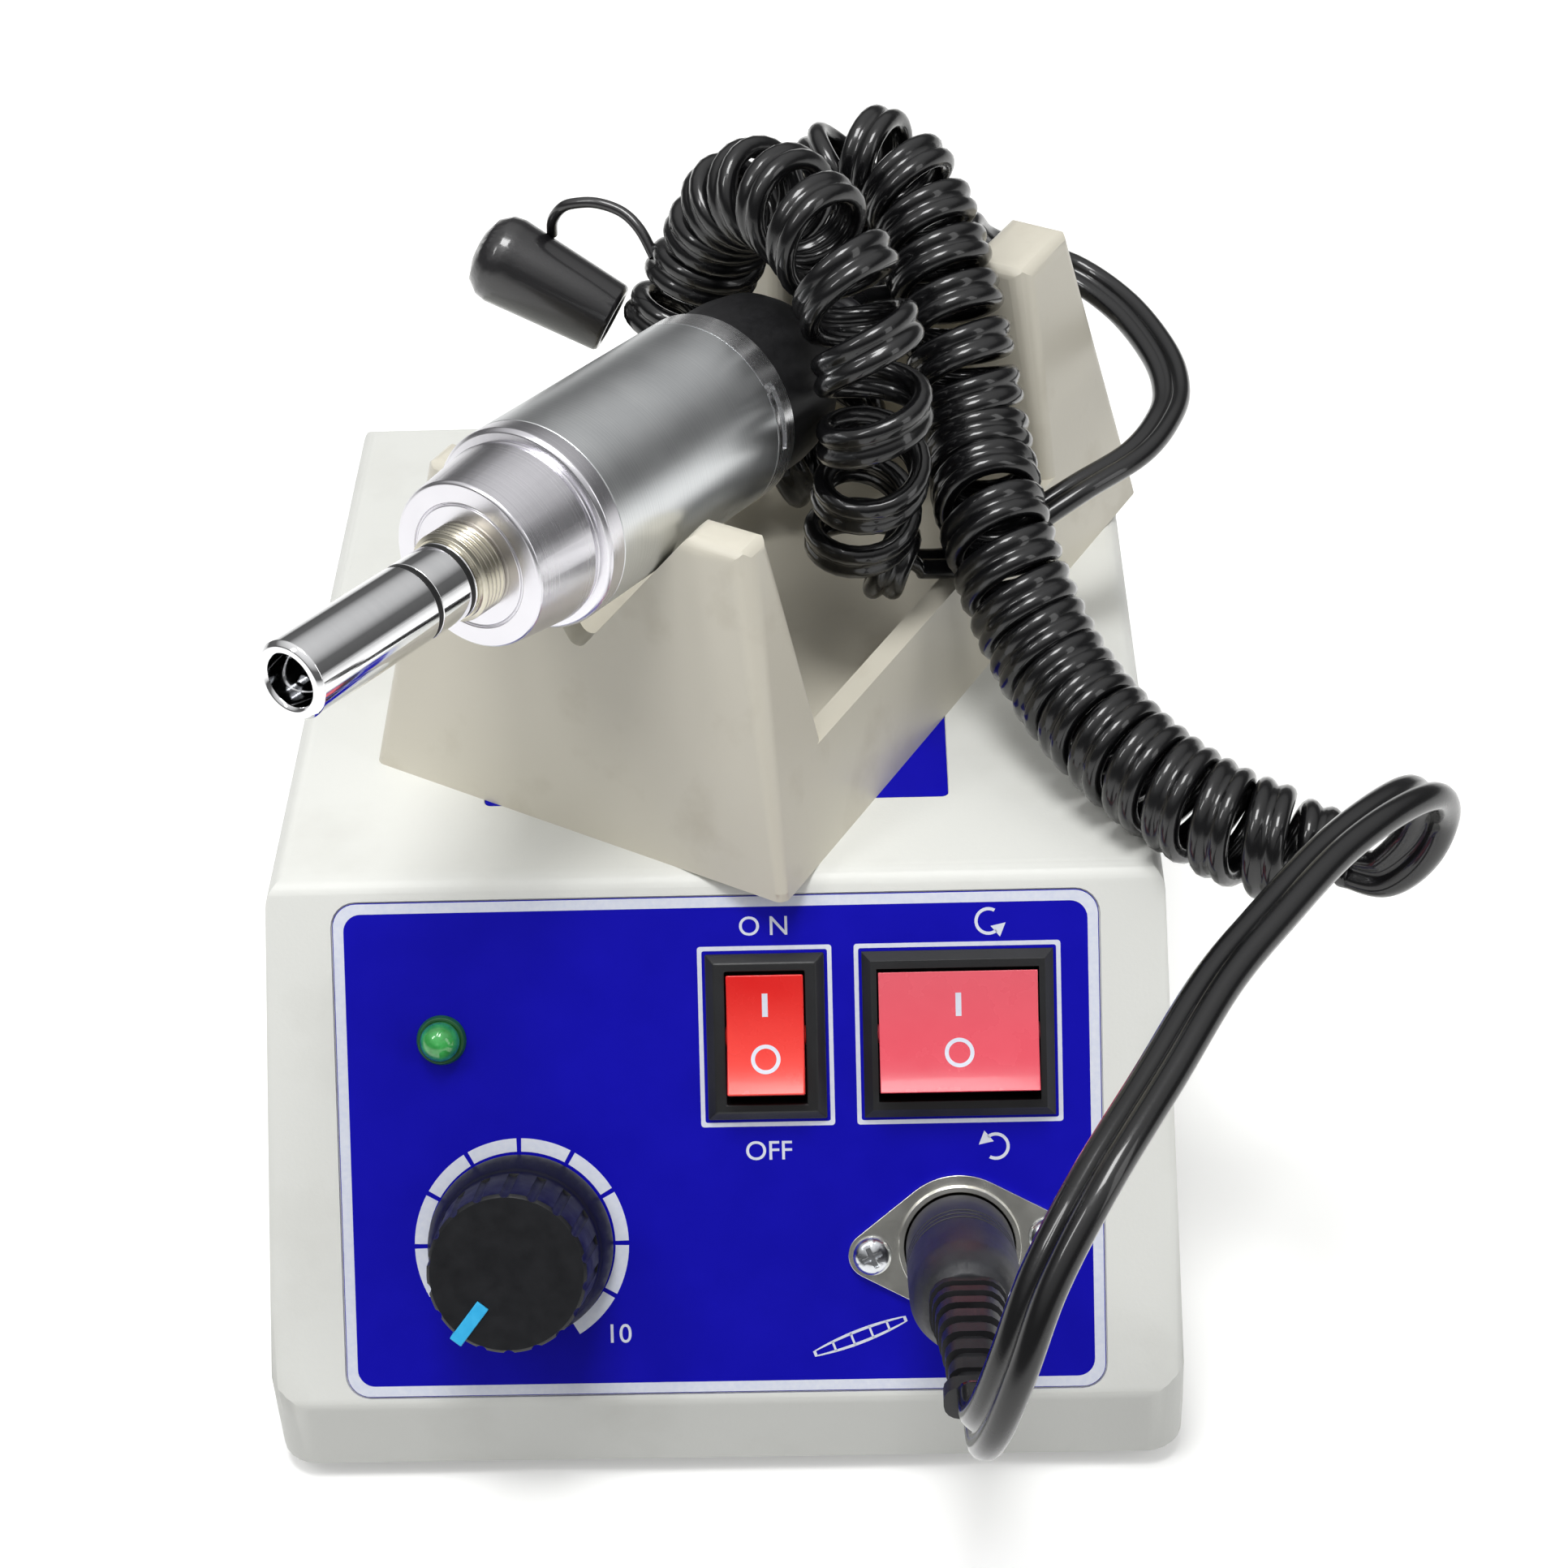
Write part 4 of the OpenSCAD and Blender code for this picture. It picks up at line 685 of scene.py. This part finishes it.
BORDER_W, BORDER_H, BORDER_R, BORDER_DOWN = 96.2, 63.0, 2.9, 34.3
RIM_WIDTHS, RIM_H, RIM_R = ((POWER_X, 16.9), (DIRECTION_X, 25.9)), 22.9, 0.4
BORDER_LINE, RIM_LINE = (1.3, 0.7), (0.55, 0.1)
LEAF_BARS, LEAF_BAR_HALF, LEAF_BAR_W = (0.22, 0.42, 0.62, 0.8), 0.9, 0.28
LEAF_INSET, LEAF_INNER = 0.03, 0.62
WORDS = (("O N", POWER_X, 7.7), ("OFF", POWER_X, 36.2), ("10", -13.4, 59.3))
handpiece_drawing = [(leaf_ring(0.0, 1), leaf_ring(LEAF_INSET, LEAF_INNER))] + [
    (line_strip([leaf_edge(t, -LEAF_BAR_HALF), leaf_edge(t, LEAF_BAR_HALF)], LEAF_BAR_W), None)
    for t in LEAF_BARS]
flat_marks = ([ringed(BORDER_W, BORDER_H, BORDER_R, BORDER_LINE, (0, -BORDER_DOWN))],
              [ringed(w, RIM_H, RIM_R, RIM_LINE, (x, -SWITCH_DOWN)) for x, w in RIM_WIDTHS],
              [part for arrow in ARROWS for part in turning_arrow(*arrow)] + handpiece_drawing)
marks = [slab(outlines, SHEET_H, SHEET_H + INK, panel_spot(0, 0)) for outlines in flat_marks]
marks += [lettering(word, LETTER_H, panel_spot(x, down, SHEET_H + INK / 2)) for word, x, down in WORDS]
joined("panel_print", marks, ink, "unit")

# Rocker switches. Each is a black nylon frame snapped into the panel with a glossy rocker on
# two pins; the rockers are moulded in clear red, with their I and O marks printed white.
nylon = Finish("bezel_black", specular_ior_level=0.45)
pebble = nylon.noise(0.3, 3.0)
nylon.wear(base_color=nylon.mixed(nylon.noise(5.0, 4.0), tone(22, 23, 24), tone(37, 38, 40)),
           roughness=0.34 + 0.18 * pebble)
nylon.relief(pebble, 0.2, 0.05)
softened("power_switch_rim", "power_switch_frame", nylon, 0.22)
softened("direction_switch_rim", "direction_switch_frame", nylon, 0.22)

PANEL_DOWN = (0, -math.cos(PANEL_ANGLE), -math.sin(PANEL_ANGLE))


def clear_red(name, plain_red_tone, highlight_red_tone, low, high):
    """Glossy red plastic with a painted highlight: paler from low to high, two distances down the panel in
    metres.
    """
    red = Finish(name, coat_weight=0.2, coat_roughness=0.08, specular_ior_level=0.4)
    # Painted highlight: the red grows paler down the panel's slope between low and high.
    depth = red.limited(red.along(PANEL_DOWN, PANEL_EDGE * MM), low, high)
    cloud = red.noise(4.5, 4.0)
    red.wear(base_color=red.mixed(0.75 * depth + 0.25 * cloud, plain_red_tone, highlight_red_tone),
             roughness=0.2 + 0.14 * cloud)
    red.relief(red.noise(0.8, 3.0), 0.08, 0.04)
    return red


# Painted highlights: the power key pales towards its lower end, the direction key towards its upper end.
power_red = clear_red("rocker_red", tone(236, 26, 26), tone(255, 76, 64), 0.014, 0.027)
rose_red = clear_red("rocker_rose", tone(224, 56, 78), tone(250, 108, 122), 0.027, 0.014)
softened("power_key", "power_rocker", power_red, 0.35, "power_rocker", 3)
softened("direction_key", "direction_rocker", rose_red, 0.35, "direction_rocker", 3)

PIN_H = -0.3
TIPPED = math.radians(-10)
DISH_HALF, DISH_RIM, DISH_DEPTH = 7.5, 3.7, 1.2
BAR_HALF_W, BAR_HALF_L, BAR_STEPS = 0.36, 1.45, 8
CIRCLE_RADII, CIRCLE_STEPS = (1.85, 1.35), 40


def rocker_marks(name, body, x, low_v, high_v):
    """White I and O, laid on the dished face of a rocker that is tipped to its upper stop."""
    tipped = panel_spot(x, SWITCH_DOWN, PIN_H) @ Matrix.Rotation(TIPPED, 4, "X")
    points, faces = [], []

    def lay(flat_points):
        for lift in (0.0, INK):
            points.extend(tipped @ Vector((
                u, v, DISH_RIM - DISH_DEPTH * (1 - (v / DISH_HALF) ** 2) + lift)) for u, v in flat_points)

    lay([(u, high_v + BAR_HALF_L * (2 * k / BAR_STEPS - 1))
         for k in range(BAR_STEPS + 1) for u in (-BAR_HALF_W, BAR_HALF_W)])
    m = 2 * (BAR_STEPS + 1)
    for a in range(0, 2 * BAR_STEPS, 2):
        faces += [(a, a + 2, a + 3, a + 1), (m + a, m + a + 1, m + a + 3, m + a + 2),
                  (a, m + a, m + a + 2, a + 2), (a + 1, a + 3, m + a + 3, m + a + 1)]
    faces += [(0, 1, m + 1, m), (m - 2, 2 * m - 2, 2 * m - 1, m - 1)]
    start, count = len(points), CIRCLE_STEPS
    lay([(r * math.cos(math.tau * k / count), low_v + r * math.sin(math.tau * k / count))
         for r in CIRCLE_RADII for k in range(count)])
    loops = [start, start + count, start + 3 * count, start + 2 * count, start]
    for a, b in zip(loops, loops[1:]):
        faces += [(a + k, b + k, b + (k + 1) % count, a + (k + 1) % count) for k in range(count)]
    joined(name, [(points, faces)], ink, body)


rocker_marks("power_marks", "power_rocker", POWER_X, -3.0, 3.75)
rocker_marks("direction_marks", "direction_rocker", DIRECTION_X, -2.6, 3.4)

# Pilot lamp. A green diode in a clip ring of a darker green, pushed into the panel from the
# front. No chip is modelled inside the dome; the material draws its bright middle.
ring_green = Finish("lens_ring", specular_ior_level=0.45)
ring_green.wear(base_color=ring_green.mixed(ring_green.noise(1.5, 3.0), tone(22, 74, 40), tone(40, 104, 60)),
                roughness=0.3 + 0.2 * ring_green.noise(0.8))
softened("lamp_ring", "lamp_bezel", ring_green, 0.12)
epoxy = Finish("lens_green", coat_weight=0.7, coat_roughness=0.04, roughness=0.12)
PANEL_OUT = (0, -math.sin(PANEL_ANGLE), math.cos(PANEL_ANGLE))
DOME_LOW, DOME_HIGH = 0.0004, 0.0036
chip = epoxy.along(PANEL_OUT, panel_spot(LAMP_X, LAMP_DOWN).translation)
glow = epoxy.limited(chip, DOME_LOW, DOME_HIGH)
swirl = epoxy.limited(epoxy.noise(1.3, 3.0), 0.35, 0.7)
epoxy.wear(base_color=epoxy.mixed(0.55 * glow + 0.45 * swirl, tone(16, 104, 38), tone(74, 190, 96)),
           emission_color=epoxy.mixed(0.5 * glow + 0.5 * swirl, tone(0, 20, 6), tone(10, 78, 30)),
           emission_strength=0.35)
softened("lamp_dome", "lamp_lens", epoxy, 0.1)

# Speed knob. A fluted phenolic knob pushed on the potentiometer's shaft, with a flat faced
# grip on a wide skirt and a light blue pointer that is moulded in; the dial ring is printed.
phenolic = moulded("knob_black", tone(12, 13, 16), tone(25, 26, 30), (2.2, 5.0), 0.3, 0.26,
                   (0.5, 4.0), (0.22, 0.06), specular_ior_level=0.35)
softened("knob_moulding", "speed_knob", phenolic, 0.16, "speed_knob")
pointer_paint = moulded("pointer_blue", tone(34, 172, 232), tone(66, 198, 250), (1.2, 3.0), 0.3, 0.2,
                        specular_ior_level=0.5)
softened("pointer_bar", "knob_pointer", pointer_paint, 0.12, "speed_knob")
shaft_steel = plated("steel_plain", tone(168, 170, 174), tone(214, 215, 217), 0.2)
dress(shaft_steel, "speed_pot", "pot_nut", "pot_shaft")

BLOCK_COUNT, BLOCK_TURN, FIRST_BLOCK = 10, 30, -45
BLOCK_HALF, BLOCK_STEPS = 13.7, 8
DIAL_INNER, DIAL_OUTER = 11.9, 13.6


def turned_copies(name, item, count, turn, first, finish):
    """Copies of one mesh made by geometry nodes, each turned about z by one more turn."""
    tree = bpy.data.node_groups.new(name, "GeometryNodeTree")
    tree.interface.new_socket("Geometry", in_out="INPUT", socket_type="NodeSocketGeometry")
    fields = {}
    for label, kind in (("Count", "Int"), ("Turn", "Float"), ("First", "Float"), ("Finish", "Material")):
        fields[label] = tree.interface.new_socket(
            label, in_out="INPUT", socket_type="NodeSocket" + kind).identifier
    tree.interface.new_socket("Geometry", in_out="OUTPUT", socket_type="NodeSocketGeometry")
    inlet, outlet, row, order, angle, axis, placed, real, coat = [tree.nodes.new(kind) for kind in (
        "NodeGroupInput", "NodeGroupOutput", "GeometryNodeMeshLine", "GeometryNodeInputIndex",
        "ShaderNodeMath", "ShaderNodeCombineXYZ", "GeometryNodeInstanceOnPoints",
        "GeometryNodeRealizeInstances", "GeometryNodeSetMaterial")]
    row.inputs["Offset"].default_value = (0, 0, 0)
    angle.operation = "MULTIPLY_ADD"
    for source, target in (
            (inlet.outputs["Count"], row.inputs["Count"]), (order.outputs[0], angle.inputs[0]),
            (inlet.outputs["Turn"], angle.inputs[1]), (inlet.outputs["First"], angle.inputs[2]),
            (angle.outputs[0], axis.inputs["Z"]), (row.outputs[0], placed.inputs["Points"]),
            (inlet.outputs["Geometry"], placed.inputs["Instance"]),
            (axis.outputs[0], placed.inputs["Rotation"]), (placed.outputs[0], real.inputs[0]),
            (real.outputs[0], coat.inputs["Geometry"]), (inlet.outputs["Finish"], coat.inputs["Material"]),
            (coat.outputs[0], outlet.inputs[0])):
        tree.links.new(source, target)
    draft = bpy.data.objects.new(name + "_draft", item)
    bpy.context.scene.collection.objects.link(draft)
    grown = draft.modifiers.new("copies", "NODES")
    grown.node_group = tree
    for label, value in (("Count", count), ("Turn", math.radians(turn)), ("First", math.radians(first)),
                         ("Finish", finish.material)):
        grown[fields[label]] = value
    mesh = bpy.data.meshes.new_from_object(draft.evaluated_get(bpy.context.evaluated_depsgraph_get()))
    draft.modifiers.remove(grown)
    bpy.data.objects.remove(draft)
    return mesh


one_block = mesh_of("dial_block", *slab([(arc_strip(
    DIAL_INNER, DIAL_OUTER, -BLOCK_HALF, BLOCK_HALF, BLOCK_STEPS), None)], 0, INK, Matrix()))
dial_mesh = turned_copies("dial_ring", one_block, BLOCK_COUNT, BLOCK_TURN, FIRST_BLOCK, ink)
dial_mesh.transform(panel_spot(KNOB_X, KNOB_DOWN, SHEET_H))
dial_ring = show("dial_ring", dial_mesh, ink)
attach(dial_ring, "unit")

# Motor socket and plug. The socket is a pressed and plated oval flange held by two cross head
# screws; the plug is moulded black PVC with a ribbed grip, and its boot droops to the cord.
flange_plating = plated("flange_zinc", tone(226, 225, 216), tone(252, 251, 244), 0.16)
softened("socket_plate", "socket_flange", flange_plating, 0.14)
bright_zinc = plated("socket_screw_zinc", tone(178, 182, 188), tone(238, 240, 242), 0.14)
softened("cross_head_screws", "socket_screws", bright_zinc, 0.1)
insert_nylon = Finish("insert_black", specular_ior_level=0.4)
insert_nylon.wear(
    base_color=insert_nylon.mixed(insert_nylon.noise(2.0, 4.0), tone(24, 24, 25), tone(40, 40, 41)),
    roughness=0.4 + 0.2 * insert_nylon.noise(0.6))
contact_silver = plated("contact_metal", tone(196, 194, 186), tone(236, 234, 228), 0.16)
dress(insert_nylon, "socket_insert")
dress(contact_silver, "plug_contacts")
matt_pvc = moulded("plug_black", tone(26, 26, 29), tone(58, 59, 64), (3.4, 6.0), 0.36, 0.26,
                   (0.35, 3.0), (0.3, 0.06), specular_ior_level=0.45)
plug_grip = softened("plug_moulding", "plug_body", matt_pvc, 0.14)
boot_pvc = moulded("boot_rubber", tone(18, 18, 20), tone(40, 40, 43), (2.6, 5.0), 0.3, 0.24,
                   (0.4, 3.0), (0.22, 0.06), specular_ior_level=0.45)
plug_boot = softened("boot_moulding", "plug_boot", boot_pvc, 0.28, segments=3)

# Cradle. One injection moulding in warm off-white ABS, glossier than the case: a tray with
# four leaning horns that hold the handpiece in two V notches, stuck down on foam tape.
warm_abs = Finish("cradle_plastic", specular_ior_level=0.5, coat_roughness=0.2, coat_weight=0.2)
flow = warm_abs.noise(30.0, 4.0)
grime = warm_abs.limited(warm_abs.noise(9.0, 7.0), 0.56, 0.78)
fine = warm_abs.noise(0.8, 4.0)
warm_abs.wear(base_color=warm_abs.mixed(0.4 * grime, warm_abs.mixed(
    flow, tone(214, 209, 193), tone(223, 218, 203)), tone(186, 178, 158)),
    roughness=0.3 + 0.16 * fine + 0.14 * grime)
warm_abs.relief(fine * 0.5 + warm_abs.noise(5.0, 2.0) * 0.5, 0.16, 0.16)
softened("cradle_moulding", "cradle", warm_abs, 0.7, segments=3)
foam = Finish("pad_rubber", roughness=0.9, specular_ior_level=0.2)
cells = foam.noise(0.6, 4.0)
foam.wear(base_color=foam.mixed(cells, tone(60, 60, 60), tone(96, 96, 95)))
foam.relief(cells, 0.6, 0.2)
dress(foam, "cradle_pads")

# Handpiece, outside. Turned parts on one axis: a chromed nose with two black ring lines, a
# threaded sleeve, a polished collar, the satin motor tube, a rear ring and the black cap.
TIP = Vector((-42.35, -63.4, 122.3))
MOTOR_YAW, MOTOR_TILT = math.radians(57.9), math.radians(96.9)
axis_way = Matrix.Rotation(MOTOR_YAW, 3, "Z") @ Matrix.Rotation(MOTOR_TILT, 3, "Y") @ Vector((0, 0, 1))


def turned_metal(name, low, high, rough, spread, line_mm, lines):
    """Metal turned on a lathe: fine lines round the axis and a cloudy polish."""
    metal = Finish(name, metallic=1.0)
    travel = metal.along(axis_way, TIP * MM)
    cut = metal.node("ShaderNodeTexNoise", {"noise_dimensions": "1D"}, {
        "W": travel * (1000.0 / line_mm), "Scale": 1.0, "Detail": 3.0})
    cloud = metal.noise(6.0, 5.0)
    metal.wear(base_color=metal.mixed(0.55 * cut + 0.45 * cloud, low, high),
               roughness=rough + spread * (0.5 * cut + 0.5 * cloud))
    metal.relief(cut, lines, 0.03)
    return metal


chrome = turned_metal("nose_chrome", tone(232, 233, 235), tone(250, 250, 251), 0.04, 0.05, 1.6, 0.015)
softened("nose_tube", "motor_nose", chrome, 0.12)
ring_paint = Finish("ring_black", specular_ior_level=0.4)
ring_paint.wear(base_color=ring_paint.mixed(ring_paint.noise(0.8), tone(10, 10, 11), tone(26, 26, 27)),
                roughness=0.4 + 0.2 * ring_paint.noise(0.5))
softened("ring_lines", "nose_rings", ring_paint, 0.05)
brass = turned_metal("sleeve_brass", tone(150, 142, 118), tone(232, 228, 214), 0.16, 0.2, 0.35, 0.3)
softened("sleeve_thread", "threaded_sleeve", brass, 0.05)
collar = turned_metal("collar_metal", tone(204, 202, 208), tone(240, 239, 243), 0.2, 0.12, 0.25, 0.05)
softened("polished_collar", "motor_collar", collar, 0.16)
# The satin tube's darker clouds in its base colour are partly a painted reflection of the coil above it,
# partly uneven satin finish.
barrel = turned_metal("barrel_metal", tone(196, 199, 202), tone(246, 248, 248), 0.24, 0.14, 0.18, 0.05)
softened("satin_tube", "motor_body", barrel, 0.12)
ring_steel = turned_metal("rear_ring_steel", tone(220, 221, 223), tone(246, 246, 247), 0.22, 0.1, 0.3, 0.03)
softened("bayonet_ring", "rear_ring", ring_steel, 0.12)
cap_plastic = moulded("cap_black", tone(18, 18, 19), tone(36, 36, 38), (1.2, 4.0), 0.34, 0.2,
                      (0.3, 3.0), (0.2, 0.05), specular_ior_level=0.45)
softened("rear_cap_moulding", "rear_cap", cap_plastic, 0.3)
softened("lead_guard", "lead_relief", boot_pvc, 0.14)

# Handpiece, inside. Two ball bearings carry the rotor between magnets; its slotted core, copper
# commutator and the driving dog in the nose are pressed on one steel shaft.
magnet = Finish("magnet_dark", specular_ior_level=0.4)
magnet.wear(base_color=magnet.mixed(magnet.noise(1.0, 4.0), tone(52, 52, 56), tone(84, 84, 88)),
            roughness=0.5 + 0.2 * magnet.noise(0.7))
dress(magnet, "stator_magnets")
bearing_steel = turned_metal("bearing_steel", tone(160, 162, 166), tone(214, 216, 218), 0.14, 0.16, 0.3, 0.1)
dress(bearing_steel, "front_bearing", "rear_bearing", "rotor_shaft")
softened("dog_fork", "drive_dog", bearing_steel, 0.1, "rotor")
brush_brass = plated("brush_brass", tone(150, 118, 66), tone(190, 156, 98), 0.28)
dress(brush_brass, "brush_holders")
laminated = turned_metal("core_iron", tone(96, 92, 90), tone(150, 146, 142), 0.34, 0.2, 0.5, 0.4)
dress(laminated, "rotor_core")
copper = turned_metal("commutator_copper", tone(176, 110, 68), tone(222, 156, 110), 0.24, 0.16, 0.3, 0.15)
dress(copper, "commutator")

# Rear wall. A mains inlet with two pins, a fuse holder with a slotted cap and a jack for the
# foot control, each held in its hole; the far side of the unit isn't seen, so these are usual ones.
softened("inlet_moulding", "mains_inlet", nylon, 0.3)
dress(contact_silver, "inlet_pins")
softened("fuse_socket", "fuse_holder", nylon, 0.25)
softened("fuse_knob", "fuse_cap", cap_plastic, 0.3, "fuse_cap")
softened("jack_moulding", "foot_jack", nylon, 0.2)
softened("jack_ring_nut", "jack_nut", zinc, 0.2)

# Inside the case. A laminated transformer with a taped winding, and a control board with its
# smoothing capacitor and a finned aluminium sink, all standing on the base plate.
lamination = Finish("transformer_iron", metallic=0.6, specular_ior_level=0.4)
sheets = lamination.node("ShaderNodeTexWave", {"bands_direction": "Y"}, {
    "Vector": lamination.place, "Scale": 320.0, "Distortion": 0.4, "Detail": 2.0})
lamination.wear(base_color=lamination.mixed(sheets, tone(58, 58, 62), tone(112, 112, 116)),
                roughness=0.45 + 0.2 * lamination.noise(2.0))
lamination.relief(sheets, 0.4, 0.15)
dress(lamination, "transformer_core")
tape = Finish("winding_tape", specular_ior_level=0.4)
wrap = tape.node("ShaderNodeTexWave", {"bands_direction": "Z"}, {
    "Vector": tape.place, "Scale": 22.0, "Distortion": 0.6, "Detail": 2.0})
tape.wear(base_color=tape.mixed(wrap, tone(196, 158, 48), tone(226, 194, 88)), roughness=0.35 + 0.2 * wrap)
tape.relief(wrap, 0.2, 0.1)
dress(tape, "transformer_coils")
mask_green = Finish("board_green", specular_ior_level=0.5)
tracks = mask_green.node("ShaderNodeTexBrick", {"offset": 0.5}, {
    "Vector": mask_green.place, "Color1": tone(18, 92, 48), "Color2": tone(26, 112, 60),
    "Mortar": tone(44, 146, 84), "Scale": 190.0, "Mortar Size": 0.03})
mask_green.wear(base_color=tracks, roughness=0.3 + 0.2 * mask_green.noise(3.0))
dress(mask_green, "control_board")
sleeve_blue = Finish("capacitor_blue", specular_ior_level=0.5)
sleeve_blue.wear(
    base_color=sleeve_blue.mixed(sleeve_blue.noise(6.0, 3.0), tone(22, 28, 86), tone(34, 44, 116)),
    roughness=0.26 + 0.2 * sleeve_blue.noise(1.2))
softened("capacitor_can", "board_capacitor", sleeve_blue, 0.8, segments=3)
fin_alloy = plated("sink_aluminium", tone(158, 160, 163), tone(200, 202, 204), 0.3)
dress(fin_alloy, "heat_sink")
